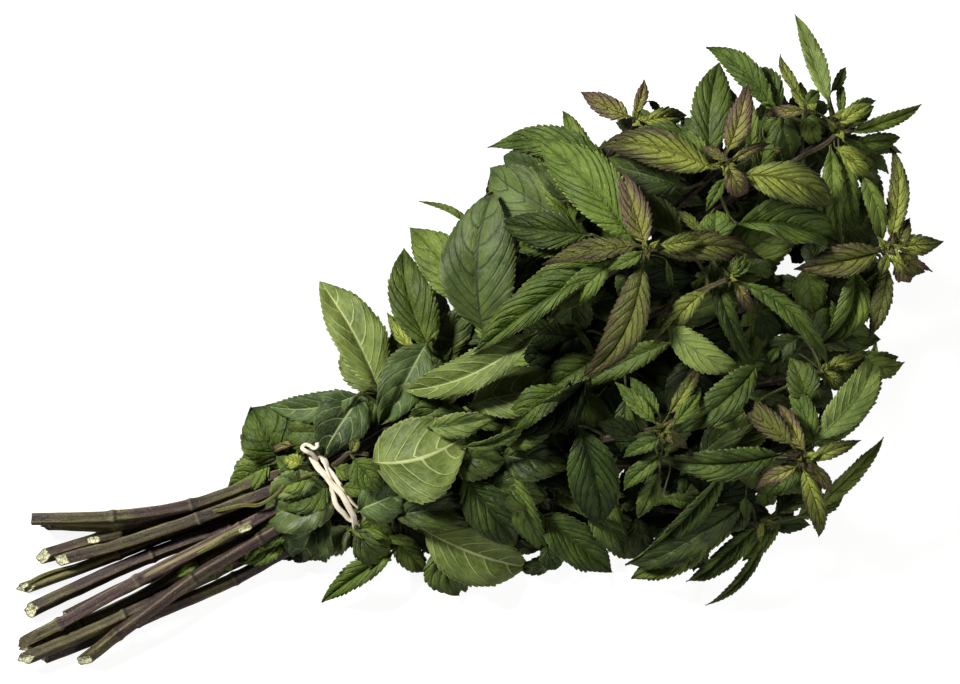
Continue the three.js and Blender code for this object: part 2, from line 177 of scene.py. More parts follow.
# The other leaves, in the groups that they grow in, with the same columns.
GROUPS = {
    "tie_leaves": [
        ((-52.5, -7.5, 21.5), (-81, -6, 14), 23, 4, 14, "limp", 2, 10),
        ((-57, -9, 20), (-76, -21.5, 6), 21, 4, 12, "slate"),
        ((-52, -18.5, 17), (-68.5, -19, 9), 13, 3, 20, "limp", 0, -15),
        ((-76, -15.5, 10), (-95.5, -15, 6), 9, 2, 12, "mid"),
        ((-71.5, -10.5, 15), (-89.5, -10, 9), 9, 2, 14, "fresh"),
        ((-60, 8.5, 27), (-65, 13.5, 26), 6, 1, 20, "bright"),
        ((-61, 8, 27), (-69.5, 8, 25), 6, 1, 20, "fresh"),
        ((-57, 4.5, 22), (-72, 4.5, 22), 11, 3, 14, "mid"),
        ((-73, 12, 10), (-85, 11.5, 6), 12, 2, 10, "grey"),
        ((-54, -2.5, 22), (-73, -3.5, 21), 15, 3, 14, "deep", 0, 6),
        ((-70, 13, 13), (-88, 11, 9), 11, 2, 10, "fresh"),
        ((-31, 24, 22), (-53, 7.5, 24), 19, 3, 10, "slate"),
        ((-3, 32, 28), (-30, 11, 24), 19, 3, 10, "slate", 1),
        ((-42.5, 4, 33), (-37, -10.8, 31), 10.5, 1, 10, "fresh"),
        ((-42.5, 6, 32), (-37.5, 10, 32), 4, 1, 20, "young"),
        ((-48.5, -14, 25), (-29, -13.5, 24), 16, 2, 12, "slate"),
        ((-38, -20, 24), (-3, -32, 20), 14, 3, 10, "dark"),
        ((-60, -19, 16), (-72, -22, 6), 9, 2, 14, "mid"),
        ((-56, 3, 25), (-75, 2, 20), 10, 2, 14, "limp"),
        ((-63, 5, 23), (-67.5, 14.5, 21), 6, 1, 20, "fresh"),
        ((-61, 6, 24), (-60.3, 13.5, 23), 3, 1, 20, "fresh"),
        ((-62, 4, 23), (-56, 0, 22), 6, 1, 15, "grey"),
        ((-50, 3, 26), (-43, -3, 26), 6, 1, 15, "mid"),
        ((-50, -4, 26), (-42, -9, 25), 6, 1, 15, "mid"),
        ((-51, -19, 21), (-44, -35, 10), 12, 3, 26, "dark", 2, 20),
        ((-54, -19, 18), (-41, -30, 14), 11, 3, 26, "mid", -2, -20),
        ((-43, -27, 17), (-33, -32, 14), 4, 1, 10, "fresh"),
        ((-26.5, -36, 10), (-26.5, -55.3, 3), 16.5, 2, 10, "dark"),
        ((-46, -22.5, 14), (-40.5, -32, 10), 7, 1, 16, "mid"),
        ((-25.5, 20.5, 14), (-30.5, 43, 10), 12.5, 3, 10, "under", -2),
        ((-54, 14, 16), (-72, 15, 13), 6, 2, 40, "purple", 0, 40),
        ((-46, 13, 22), (-62, 22, 16), 15, 3, 10, "dark"),
        ((-48, 18, 14), (-82, 17, 6), 14, 3, 10, "mid", -2),
        ((-44, -22, 10), (-84, -18, 3), 10, 2, 8, "dark", 1),
        ((-103.5, -12, 9), (-110.5, -12.5, 7), 4, 1, 20, "mid"),
        ((-98.5, -12.5, 9), (-98.5, -17, 7), 3.5, 1, 20, "mid"),
        ((-1.5, 9.5, 31), (-21, 8, 28), 12, 2, 12, "dark"),
        ((1.5, 3, 31), (-17, 4, 30), 12, 2, 12, "dark"),
        ((-9, 30.5, 22), (-12.5, 46.5, 15), 5, 1, 20, "bright"),
        ((-108, -10, 10), (-117, -11.5, 9), 4, 1, 20, "mid"),
        ((-106, -11, 9), (-104, -17, 8), 4, 1, 20, "mid", 1),
        ((-84, -10, 14), (-92, -16, 10), 5, 1, 20, "mid"),
        ((-54.5, 12, 17), (-60.5, 8, 15), 9, 1, 8, "dark"),
        ((-64.5, 11, 12), (-74.5, 10.5, 8), 7, 1, 10, "dark"),
    ],
    "upper_shoot_leaves": [
        ((-11, 28, 18), (-12.5, 47, 12), 5, 2, 20, "fresh"),
        ((27.5, 60.5, 30), (12.5, 79, 24), 3.5, 2, 20, "mid", 1.4, 50),
        ((58, 52, 46), (40, 80.5, 32), 20, 4, 8, "grey"),
        ((58.5, 70.5, 40), (46, 82.5, 34), 11, 3, 10, "grey"),
        ((60, 50, 44), (57, 82, 36), 12, 4, 10, "mid"),
        ((75, 62, 34), (71.5, 89.5, 24), 8, 3, 12, "mid", -0.8),
        ((63, 58, 52), (55, 75, 48), 7, 2, 14, "dark"),
        ((62, 44, 58), (37, 50, 46), 12, 3, 16, "mid"),
        ((66, 36, 62), (28, 33, 50), 14, 4, 12, "mid"),
        ((68, 34.5, 74), (42.5, 26, 60), 9.5, 4, 12, "fresh"),
        ((52, 31, 46), (44, 15, 38), 16, 3, 8, "dark"),
        ((49, 5, 48), (46.5, 20, 48), 2.5, 1, 20, "fresh"),
        ((86.5, 67.5, 30), (76.5, 69, 26), 9, 1, 8, "dark"),
        ((96.5, 70, 40), (97, 80, 36), 7, 2, 12, "mid"),
        ((113, 57, 50), (108.5, 71.5, 44), 9, 2, 12, "dark"),
        ((97, 69, 42), (87, 78.5, 36), 7, 2, 12, "deep"),
    ],
    "shoot_04_tip": [
        ((78, 35, 79), (44, 41.5, 68), 9, 4, 25, "tawny", 0, 25),
        ((78, 33, 80), (64, 31.3, 78), 5, 1, 20, "fresh"),
        ((76, 30, 74), (64.5, 22, 70), 9, 2, 12, "dark"),
        ((84, 33, 79), (100, 28, 74), 7, 2, 18, "young"),
        ((79.5, 34, 80), (81, 63, 76), 10, 3, 16, "purple"),
        ((84.5, 27, 68), (82, 16.5, 62), 2.5, 1, 20, "mid"),
    ],
    "shoot_01_tip": [
        ((94, 78, 51), (101.5, 88.5, 46), 5, 1, 20, "purple"),
        ((95, 75, 51), (111, 71.5, 44), 7.5, 2, 16, "young"),
        ((100, 81, 46), (103, 76, 44), 3, 1, 20, "dark"),
    ],
    "shoot_02_tip": [
        ((112, 60, 58), (81, 72.5, 48), 13, 4, 10, "mid"),
        ((112, 52, 64), (105, 68.5, 60), 6, 2, 16, "fresh"),
        ((100, 48, 58), (77, 68, 48), 14, 4, 10, "dark"),
        ((92, 32, 66), (85, 52, 60), 10, 3, 12, "dark"),
        ((99, 32, 70), (94.2, 42, 68), 4, 1, 20, "young"),
        ((103, 26.5, 72), (106.5, 37.3, 70), 12.5, 2, 10, "fresh"),
        ((122, 60, 56), (128, 74.5, 52), 5, 2, 14, "fresh"),
        ((117, 50.5, 73), (133.5, 51, 67), 4, 2, 20, "purple"),
        ((133, 49, 68), (136.5, 46.8, 66), 2.5, 0.5, 20, "purple"),
        ((116, 50, 75), (119, 38, 66), 8, 3, 20, "purple", 1),
        ((116.5, 51, 75), (110, 59, 72), 4, 1, 20, "purple"),
        ((114, 46, 72), (103.5, 37.5, 68), 4.5, 1, 18, "fresh"),
    ],
    "shoot_03_tip": [
        ((126, 50, 52), (133, 74, 46), 6.5, 3, 14, "mid"),
        ((149, 62, 56), (148.8, 79, 50), 4, 2, 20, "young"),
        ((160, 60, 48), (168.7, 66.3, 42), 4, 1, 20, "fresh"),
        ((148.5, 58.5, 53), (149.5, 69, 48), 5, 2, 18, "bright"),
        ((152, 54.5, 53), (149.5, 63.5, 50), 7, 2, 18, "bright"),
        ((149, 21.5, 36), (156.5, 3, 32), 12, 2, 12, "dark"),
        ((135, 15, 24), (126.5, 9.5, 18), 7, 1, 10, "inner"),
        ((115, 29, 20), (117, 17.5, 14), 8, 1, 10, "inner"),
        ((149, 57.5, 62), (135, 60.5, 58), 5, 2, 22, "purple"),
        ((150, 59, 60), (156, 62, 56), 5, 1, 18, "fresh"),
        ((141, 60, 54), (133, 54, 48), 5, 1, 16, "fresh"),
        ((141, 60, 52), (137, 43, 46), 10, 3, 12, "dark"),
        ((148, 57, 54), (149, 44, 50), 7.5, 2, 14, "mid"),
        ((150, 58, 52), (154, 44.5, 48), 5, 2, 14, "dark"),
        ((160.5, 51, 50), (174, 51.5, 42), 4.5, 2, 18, "fresh"),
        ((160.5, 50.5, 50), (164.3, 64, 44), 3.5, 1, 18, "fresh"),
        ((159, 29.5, 50), (156.5, 4, 45), 7, 3, 14, "mid", -2),
        ((159.5, 26, 44), (147, 12, 40), 9, 3, 12, "mid"),
        ((154, 41.5, 54), (163.5, 33.5, 49), 5, 2, 20, "bright"),
        ((155, 39, 54), (163.5, 26.5, 47), 6, 2, 20, "bright"),
        ((158, 49, 54), (171.5, 51, 50), 5.5, 2, 18, "bright"),
        ((157.5, 52, 54), (166, 50.5, 52), 4, 1, 20, "bright"),
        ((158, 42, 52), (166, 35, 46), 4, 1, 18, "fresh"),
        ((158, 40, 50), (165.5, 27.5, 42), 4.5, 2, 18, "young"),
        ((161, 41, 46), (177.5, 36.3, 38), 6, 2, 16, "mid"),
        ((161, 40, 44), (176, 31, 36), 5, 2, 16, "mid"),
        ((160, 42, 42), (169, 26, 34), 6, 2, 16, "mid"),
        ((161, 41, 44), (170, 33, 38), 4, 1, 16, "dark"),
        ((153, 43, 52), (143.8, 8.7, 44), 8, 4, 14, "mid"),
        ((155, 42, 50), (150.5, 11, 42), 9, 4, 14, "mid"),
        ((158, 42, 48), (163.5, 17, 42), 7, 3, 14, "dark"),
        ((160, 47, 46), (173, 50, 40), 5, 2, 16, "fresh"),
        ((141, 60, 50), (137, 79, 42), 11, 3, 14, "fresh", 1),
        ((111, 54, 52), (113.5, 64.5, 46), 9, 2, 12, "mid"),
        ((152, 52.5, 50), (154.5, 59.5, 46), 7, 2, 12, "fresh"),
    ],
    "shoot_06_tip": [
        ((160, 3.5, 48), (173, 35, 42), 7.8, 3, 14, "young", 1.2),
        ((160, 2, 49), (177.5, -3, 42), 7.5, 2, 16, "young"),
        ((160, -1, 49), (170, -11.5, 44), 3.5, 1, 20, "purple"),
        ((160, -1, 42), (162, -12, 34), 9, 2, 14, "purple"),
        ((155, -0.5, 38), (142, -7.5, 32), 10, 2, 12, "dark"),
        ((158, 0, 49), (151.5, -6.5, 46), 4.5, 1, 20, "young"),
        ((156, -3, 44), (141, -25, 34), 7, 3, 14, "tawny", -2.5),
        ((153.5, -4, 42), (142.5, -19.5, 32), 8, 3, 14, "mid", 1),
        ((157, -1, 48), (167.5, -10.5, 42), 8, 2, 14, "young"),
        ((130, 7, 44), (126, -10, 38), 12, 2, 10, "mid"),
        ((133, -6, 40), (129, -17, 37), 6, 1, 16, "fresh"),
        ((138.5, 4.5, 34), (137.5, -8, 30), 8, 2, 12, "dark"),
        ((160.5, 0.5, 48), (169.5, 9, 45), 6, 2, 16, "tawny"),
    ],
    "shoot_07_tip": [
        ((103, 12, 70), (106.3, -1, 63), 5, 2, 18, "purple"),
        ((103, 14, 71), (111, 19, 71), 4, 1, 20, "fresh"),
        ((103, 13.5, 71), (113, 16, 70), 4, 1, 20, "fresh"),
        ((103, 15, 71), (108, 20, 72), 4, 1, 20, "young"),
        ((94, 12, 66), (68.5, 1.5, 60), 8, 3, 16, "young"),
        ((76, 0, 56), (37.5, -2.3, 48), 9, 3, 12, "dark"),
        ((50, 5, 46), (27.5, -1, 42), 13, 3, 10, "mid"),
        ((82, -8, 50), (66, -22, 44), 10, 2, 12, "dark"),
        ((118, -15, 46), (101, -17, 42), 9, 2, 12, "dark"),
        ((98, -30, 54), (78, -33, 50), 9, 3, 12, "mid"),
        ((110, -16, 48), (104, -20, 46), 4, 1, 16, "fresh"),
        ((125.5, -0.5, 34), (118.5, 8, 31), 6, 1, 12, "dark"),
        ((112, 14, 40), (120.5, 10, 36), 7, 1, 12, "dark"),
        ((109, -2, 34), (109, -14, 28), 9, 2, 10, "bottle"),
    ],
    "middle_leaves": [
        ((2, 6, 36), (37, -1.5, 40), 24, 3, 25, "under", 0, -25),
        ((0, 0, 33), (23, -5, 32), 6, 2, 10, "fresh"),
        ((-14, 4, 38), (11, -1, 42), 10, 2, 14, "pale", 0, 20),
        ((-12, -9.5, 31), (7, -17, 32), 14, 3, 12, "dark"),
        ((7.5, -9, 36), (29, -12, 40), 12, 3, 12, "dark"),
        ((27.5, -41.5, 18), (37, -67.5, 8), 14, 3, 12, "dark"),
        ((63, -72, 23), (32.5, -73, 8), 11, 3, 14, "mid", -1),
        ((79.5, -74, 24), (50, -81, 8), 8, 3, 14, "mid", -1.5),
        ((58.5, -59.5, 24), (41, -71.5, 8), 11, 3, 12, "inner"),
        ((42, -2, 40), (38.5, -35, 22), 14, 5, 12, "dark"),
        ((54, -12, 46), (45.5, -29, 38), 7, 2, 12, "dark"),
        ((5, -12, 28), (8.5, -55.5, 12), 12, 5, 14, "fresh", 0, 20),
        ((12, -15, 20), (10, -55, 6), 9, 4, 12, "dark"),
        ((-5.5, -42, 10), (7, -51.5, 4), 6, 1, 20, "dark", 0, 30),
        ((12, -55, 6), (-4, -54, 2), 6.5, 1, 12, "slate", -1.2),
        ((-5.5, -7, 39), (23.5, -4.5, 46), 7, 3, 30, "fresh", 2, 35),
        ((6, -14, 30), (28, -28.5, 33), 16, 3, 10, "dark"),
        ((26.5, -18.5, 33), (46, -30, 36), 14, 3, 10, "inner"),
        ((-5, -21.5, 28), (15.5, -34.5, 22), 14, 3, 10, "dark"),
        ((50.5, 14.5, 42), (23.5, 10, 36), 15, 3, 10, "inner"),
        ((35.5, -0.5, 53), (12, -9, 46), 13, 3, 20, "deep", 0, 20),
        ((-40.5, -27.5, 12), (-34.5, -43.5, 4), 10, 2, 14, "mid"),
        ((42.5, -52.5, 18), (39.5, -68, 6), 9, 2, 12, "dark"),
        ((-2, -38.5, 12), (4.5, -49, 6), 9, 1, 12, "inner"),
        ((56.5, -30, 58), (41, -16.5, 52), 9, 3, 14, "inner"),
        ((42, 16.5, 44), (27.5, 21, 40), 12, 3, 12, "inner"),
        ((-6, -15, 16), (-16.5, -17.5, 12), 9, 1, 8, "dark"),
        ((9.5, -49.5, 14), (8.5, -60, 6), 8, 2, 10, "bottle"),
        ((-23.5, -41.5, 14), (-24, -55.5, 4), 7, 2, 10, "dark"),
    ],
    "shoot_12_tip": [
        ((60, -24, 72), (52.5, -5.5, 66), 5.5, 2, 18, "fresh"),
        ((62, -22, 70), (58, -6, 62), 6, 2, 16, "fresh"),
        ((65, -23, 70), (83.5, -11, 65), 5.5, 2, 18, "young"),
        ((65, -27, 71), (79, -18.3, 68), 5.5, 2, 18, "fresh"),
        ((60, -29, 72), (45, -30.8, 66), 5.5, 2, 18, "fresh"),
        ((58, -28, 71), (51, -25.5, 69), 3, 1, 20, "fresh"),
        ((58, -34, 67), (41, -41.5, 58), 7, 2, 16, "fresh"),
        ((55, -40, 60), (42, -52.3, 48), 7, 2, 14, "mid"),
        ((63, -28, 70), (67, -36.5, 64), 3.5, 1, 20, "purple"),
    ],
    "shoot_08_tip": [
        ((104.5, -53, 67), (101.5, -33, 60), 6, 3, 18, "purple"),
        ((100, -56, 68), (84, -58.3, 63), 5.5, 2, 18, "purple"),
        ((104, -56, 67), (124, -56.2, 62), 5.5, 2, 16, "young"),
        ((101.5, -57, 67), (98, -82.5, 50), 7.5, 4, 16, "young"),
        ((104, -56, 67), (107.5, -70, 58), 5, 2, 18, "purple"),
        ((103, -60, 62), (104, -77, 50), 4, 2, 18, "young"),
        ((108, -52, 58), (110, -27, 52), 8, 3, 14, "fresh"),
        ((112, -38, 54), (112, -20.5, 52), 12, 3, 10, "mid"),
    ],
    "shoot_11_tip": [
        ((128, -32, 40), (149.5, -37.5, 34), 9, 3, 14, "mid"),
        ((128.5, -32.5, 42), (148, -34.5, 34), 9, 2, 12, "mid"),
        ((113, -32, 44), (121, -39.5, 40), 10, 2, 12, "dark"),
        ((122, -29, 46), (139.5, -28.7, 42), 6, 2, 16, "young"),
        ((121, -29, 50), (127, -38.5, 46), 6, 2, 18, "young"),
        ((124, -30, 44), (131, -39.5, 40), 8, 2, 14, "fresh"),
        ((111, -47, 50), (127, -41, 44), 8, 2, 12, "dark"),
        ((105.5, -50.5, 44), (130, -49.5, 38), 9, 2, 14, "fresh"),
    ],
    "shoot_10_tip": [
        ((94, -74, 24), (113, -73, 18), 8, 3, 14, "mid"),
        ((84, -73, 24), (98, -78.5, 18), 6, 2, 16, "deep"),
        ((85.5, -73.5, 26), (71, -81.5, 16), 5, 2, 16, "mid"),
        ((80, -62, 34), (34, -68, 16), 13, 5, 12, "dark"),
        ((78, -66, 28), (33, -72.7, 10), 8, 4, 14, "mid"),
        ((82, -71, 26), (55, -83, 12), 6, 3, 14, "deep"),
        ((80, -60, 38), (76.5, -67.5, 34), 4, 1, 18, "fresh"),
        ((80, -62, 32), (70, -70, 28), 8, 2, 12, "dark"),
        ((54, -50, 31), (63, -56, 29), 5, 1, 14, "fresh"),
        ((87, -70, 22), (110.5, -65, 20), 8, 2, 14, "mid"),
        ((89, -72, 26), (74, -83, 14), 6, 2, 16, "mid"),
        ((102.5, -55.5, 44), (86.5, -62.5, 38), 9, 3, 12, "deep"),
        ((88.5, -58.5, 30), (85.5, -66.5, 22), 7, 2, 10, "deep"),
        ((60, -66, 24), (54, -78.5, 10), 9, 2, 10, "bottle"),
    ],
}

# Little leaves still folded round each shoot tip: tip, way that the shoot points, how many and
# their length.
BUDS = {
    "shoot_01_tip": ((93, 76, 49), (0.6, 0.4, 0.6), 6, 6),
    "shoot_02_tip": ((115.5, 50, 72.5), (0.3, 0.1, 0.9), 7, 6),
    "shoot_03_tip": ((157, 46, 51.5), (0.6, 0.1, 0.7), 7, 7),
    "shoot_04_tip": ((79.5, 33, 78.3), (0.2, 0, 1), 6, 5),
    "shoot_06_tip": ((158, 2, 49), (0.6, 0.2, 0.7), 8, 8),
    "shoot_07_tip": ((102, 13, 70), (0.3, 0.2, 0.9), 6, 5),
    "shoot_08_tip": ((102, -54, 67), (0.4, -0.1, 0.9), 8, 7),
    "shoot_10_tip": ((82, -71, 32.5), (0.5, -0.6, 0.5), 6, 6),
    "shoot_11_tip": ((121, -29.5, 48.5), (0.5, -0.2, 0.8), 6, 6),
    "shoot_12_tip": ((61, -26.5, 71.5), (0.2, -0.1, 1), 8, 6),
}

# Side shoots, bare stalks and stubs that show: points of the middle line, width at both ends,
# kind of skin, and whether the first end is a fresh cut.
SIDE_SHOOTS = [
    (((-50, 4, 24), (-46, 5.2, 29), (-43, 6, 30), (-37, 3, 32)), 2.4, 1.8, "bark", False),
    (((-96.5, 5, 14), (-91, 4, 18.6), (-85, 3, 20.4), (-80, 1, 21.4), (-73, 2, 23),
      (-67.5, 4.5, 25), (-61.5, 4.5, 27), (-57, 4, 27)), 1.7, 1.3, "shoot", False),
    (((-139, 11.3, 9.4), (-135.5, 10.5, 9.8), (-129, 9.4, 8.4)), 2.9, 2.9, "bark", True),
    (((-87.5, -5, 18.6), (-93.5, -5, 17.6), (-101.5, -6.5, 15.6), (-108, -7, 14)), 2.6, 1.3,
     "shoot", True),
    (((-168, 5.4, 3.4), (-160, 6.4, 4), (-148, 5.4, 4)), 1.9, 0.9, "shoot", True),
    (((153, 45, 49), (156, 49, 50), (157.5, 54, 50), (158.5, 60, 49)), 1.4, 1.2, "shoot", False),
    (((136, 42, 45), (143, 43, 50), (152, 44, 52), (158, 46.5, 52)), 2.2, 2.0, "bark", False),
    (((140, 43, 46), (146, 50, 50), (149, 57, 56), (150, 60, 59)), 2.0, 1.4, "bark", False),
    (((126, -29, 45), (133, -32, 42), (140, -36, 38)), 1.6, 1.0, "stalk", False),
]

# Where inner leaves may grow, seen from above, and the gaps that stay open: X, Y, radius.
HEAD_EDGE = [
    (-46, 12), (-34, 30), (-14, 40), (0, 54), (15, 64), (34, 76), (52, 80), (75, 76), (98, 73),
    (112, 69), (122, 72), (140, 72), (155, 68), (166, 60), (172, 46), (172, 36), (166, 24),
    (158, 10), (160, 0), (147, -10), (140, -26), (132, -36), (124, -46), (114, -60), (100, -72),
    (82, -80), (64, -78), (66, -70), (44, -68), (28, -62), (12, -56), (-8, -48), (-26, -46),
    (-42, -36), (-48, -20),
]
OPEN_GAPS = [(123, 11, 3), (60.6, -47, 1.2), (66, -74, 3), (86.5, -66, 1.6), (2.5, -53, 3),
             (147.5, -13, 1.5), (168.5, 28, 3), (130, 76, 2.5), (135.5, 65, 1.5), (161, 54, 1.5),
             (126.5, -39.5, 1.7)]

# ---- places and routes --------------------------------------------------------------------------


def place(spot):
    """A point of the tables, in the frame."""
    return (Vector(spot) - MIDDLE) * MM


def mix(first, second, share):
    return first + (second - first) * share


def smooth(low, high, value):
    share = min(max((value - low) / (high - low), 0), 1)
    return share * share * (3 - 2 * share)


CURVE_STEPS = 16  # between two given points


def curve_points(points):
    """Points along a smooth curve through the given ones, in the manner of a centripetal spline."""
    made = []
    longer = [points[0] * 2 - points[1], *points, points[-1] * 2 - points[-2]]
    for before, near, far, after in zip(longer, longer[1:], longer[2:], longer[3:]):
        lead, run, trail = ((b - a).length ** 0.5 for a, b in
                            ((before, near), (near, far), (far, after)))
        leave = ((near - before) / lead - (far - before) / (lead + run) + (far - near) / run) * run
        reach = ((far - near) / run - (after - near) / (run + trail) + (after - far) / trail) * run
        bend = far * 3 - near * 3 - leave * 2 - reach
        turn = near * 2 - far * 2 + leave + reach
        for step in range(CURVE_STEPS):
            t = step / CURVE_STEPS
            made.append(near + leave * t + bend * t * t + turn * t * t * t)
    made.append(points[-1].copy())
    return made


def evenly(points, step):
    """The same line with its points an even step apart."""
    lengths = [0]
    for a, b in zip(points, points[1:]):
        lengths.append(lengths[-1] + (b - a).length)
    count = max(2, round(lengths[-1] / step))
    made, k = [], 0
    for i in range(count + 1):
        goal = lengths[-1] * i / count
        while k < len(points) - 2 and lengths[k + 1] < goal:
            k += 1
        share = (goal - lengths[k]) / max(lengths[k + 1] - lengths[k], 1e-9)
        made.append(points[k].lerp(points[k + 1], min(share, 1)))
    return made


def leaf_row(base, tip, width, arch, fold, look, sway=0, roll=0):
    """A row of the leaf tables in full, in the order that leaf_surface takes."""
    return base, tip, width, arch, sway, roll, fold, look


def axes(along):
    """The way along, the right-hand side and the upper side of a line."""
    way = along.normalized()
    right = Vector((way.y, -way.x, 0))
    right = right.normalized() if right.length > 1e-6 else Vector((0, -1, 0))
    return way, right, right.cross(way)


def inside(edge, x, y):
    """Whether a point lies inside a closed outline."""
    hit = False
    for (ax, ay), (bx, by) in zip(edge, edge[1:] + edge[:1]):
        if (ay > y) != (by > y) and x < (bx - ax) * (y - ay) / (by - ay) + ax:
            hit = not hit
    return hit


ROUTES = {row[0]: evenly(curve_points([place(p) for p in row[1]]), STEM_STEP * MM) for row in STEMS}

# ---- materials ----------------------------------------------------------------------------------


def colour(code):
    """Blender's linear colour for a code of red, green and blue as two hex digits each."""
    parts = [int(code[k:k + 2], 16) / 255 for k in (0, 2, 4)]
    return tuple(p / 12.92 if p < 0.04045 else ((p + 0.055) / 1.055) ** 2.4 for p in parts) + (1,)


class Wire:
    """A value in a node tree. Sums and products of wires make the maths nodes for them."""

    def __init__(self, tree, socket):
        self.tree, self.socket = tree, socket

    def __add__(self, other):
        return maths("ADD", self, other)

    def __sub__(self, other):
        return maths("SUBTRACT", self, other)

    def __mul__(self, other):
        return maths("MULTIPLY", self, other)

    def __truediv__(self, other):
        return maths("DIVIDE", self, other)

    def __abs__(self):
        return maths("ABSOLUTE", self)

    def __rsub__(self, other):
        return maths("SUBTRACT", self, other, swapped=True)

    def fraction(self):
        return maths("FRACT", self)

    def at_least(self, other):
        return maths("MAXIMUM", self, other)

    def at_most(self, other):
        return maths("MINIMUM", self, other)

    def fade(self, low, high, at_low=0.0, at_high=1.0):
        """Runs smoothly from at_low to at_high as the value goes from low to high."""
        return node(self.tree, "MapRange", {"interpolation_type": "SMOOTHSTEP"}, Value=self,
                    From_Min=low, From_Max=high, To_Min=at_low, To_Max=at_high)["Result"]

    def blend(self, first, second):
        """A colour on the way from the first to the second, as the value goes from 0 to 1."""
        made = self.tree.nodes.new("ShaderNodeMix")
        made.data_type = "RGBA"
        for value, index in ((self, 0), (first, 6), (second, 7)):
            feed(value, made.inputs[index])
        return Wire(self.tree, made.outputs[2])


def feed(value, socket):
    if isinstance(value, Wire):
        value.tree.links.new(value.socket, socket)
    else:
        socket.default_value = value


def fill(sockets, values):
    """Feeds each value to the socket of its name, with spaces for the underscores."""
    for name, value in values.items():
        feed(value, sockets[name.replace("_", " ")])


def node(tree, kind, settings=None, **inputs):
    """Makes a node and gives its outputs by name."""
    made = tree.nodes.new("ShaderNode" + kind)
    for name, value in (settings or {}).items():
        setattr(made, name, value)
    fill(made.inputs, inputs)
    return {socket.name: Wire(tree, socket) for socket in made.outputs}


def maths(operation, wire, other=None, swapped=False):
    made = wire.tree.nodes.new("ShaderNodeMath")
    made.operation = operation
    first, second = made.inputs[:2]
    if swapped:
        first, second = second, first
    feed(wire, first)
    if other is not None:
        feed(other, second)
    return Wire(wire.tree, made.outputs[0])


def split(vector):
    parts = node(vector.tree, "SeparateXYZ", Vector=vector)
    return parts["X"], parts["Y"], parts["Z"]


def join(x, y, z):
    return node(x.tree, "CombineXYZ", X=x, Y=y, Z=z)["Vector"]


def speckle(vector, scale, detail=2.0, roughness=0.6):
    """Soft noise from 0 to 1 round a middle of 0.5."""
    return node(vector.tree, "TexNoise", Vector=vector, Scale=scale, Detail=detail,
                Roughness=roughness)["Fac"]


def new_group(name, inputs, outputs):
    """An empty shader node group: its tree, its inputs by name, and a function that sets its
    outputs. Names come in one string for each kind of socket."""
    tree = bpy.data.node_groups.new(name, "ShaderNodeTree")
    kinds = {"colour": "NodeSocketColor", "value": "NodeSocketFloat", "vector": "NodeSocketVector"}
    for sockets, way in ((inputs, "INPUT"), (outputs, "OUTPUT")):
        for kind, labels in sockets.items():
            for label in labels.split(", "):
                tree.interface.new_socket(label, in_out=way, socket_type=kinds[kind])
    given = {socket.name: Wire(tree, socket) for socket in tree.nodes.new("NodeGroupInput").outputs}
    wanted = tree.nodes.new("NodeGroupOutput").inputs
    return tree, given, lambda **values: fill(wanted, values)


def vein_pattern():
    """Midrib, side veins, the net between them and the margin, from a leaf's own coordinates.

    Leaf Place is (count of side veins passed, place across from -1 to 1, seed of the leaf).
    """
    tree, given, put = new_group(
        "Mint leaf veins", {"vector": "Leaf Place", "value": "Vein Width, Net Width"},
        {"value": "Midrib, Side Veins, Net, Margin, Patch, Relief"})
    run, across, seed = split(given["Leaf Place"])
    out, own = abs(across), seed * 37.0
    patch = speckle(join(run * 0.9, across * 1.6, own), 1.0)
    run = run + (patch - 0.5) * 0.34
    gap = 0.5 - abs(run.fraction() - 0.5)
    width = given["Vein Width"] * out.fade(0.1, 1.0, 1.25, 0.55)
    side_veins = (gap / width).fade(0.25, 1.0, 1.0, 0.0) * out.fade(0.75, 1.0, 1.0, 0.3)
    cells = node(tree, "TexVoronoi", {"feature": "DISTANCE_TO_EDGE"}, Scale=1.0, Randomness=0.85,
                 Vector=join(run * 2.6, across * 5.5, own))["Distance"]
    valley = out.fade(0.0, 0.14, 1.0, 0.0).at_least(gap.fade(0.0, 0.17, 1.0, 0.0))
    seam = cells.fade(0.0, 0.3, 1.0, 0.0)
    put(Midrib=out.fade(0.018, 0.055, 1.0, 0.0), Side_Veins=side_veins, Patch=patch,
        Net=cells.fade(0.0, given["Net Width"], 1.0, 0.0), Margin=out.fade(0.95, 1.0),
        Relief=1.0 - (valley * 0.7 + seam * 0.3))
    return tree


VEINS = vein_pattern()


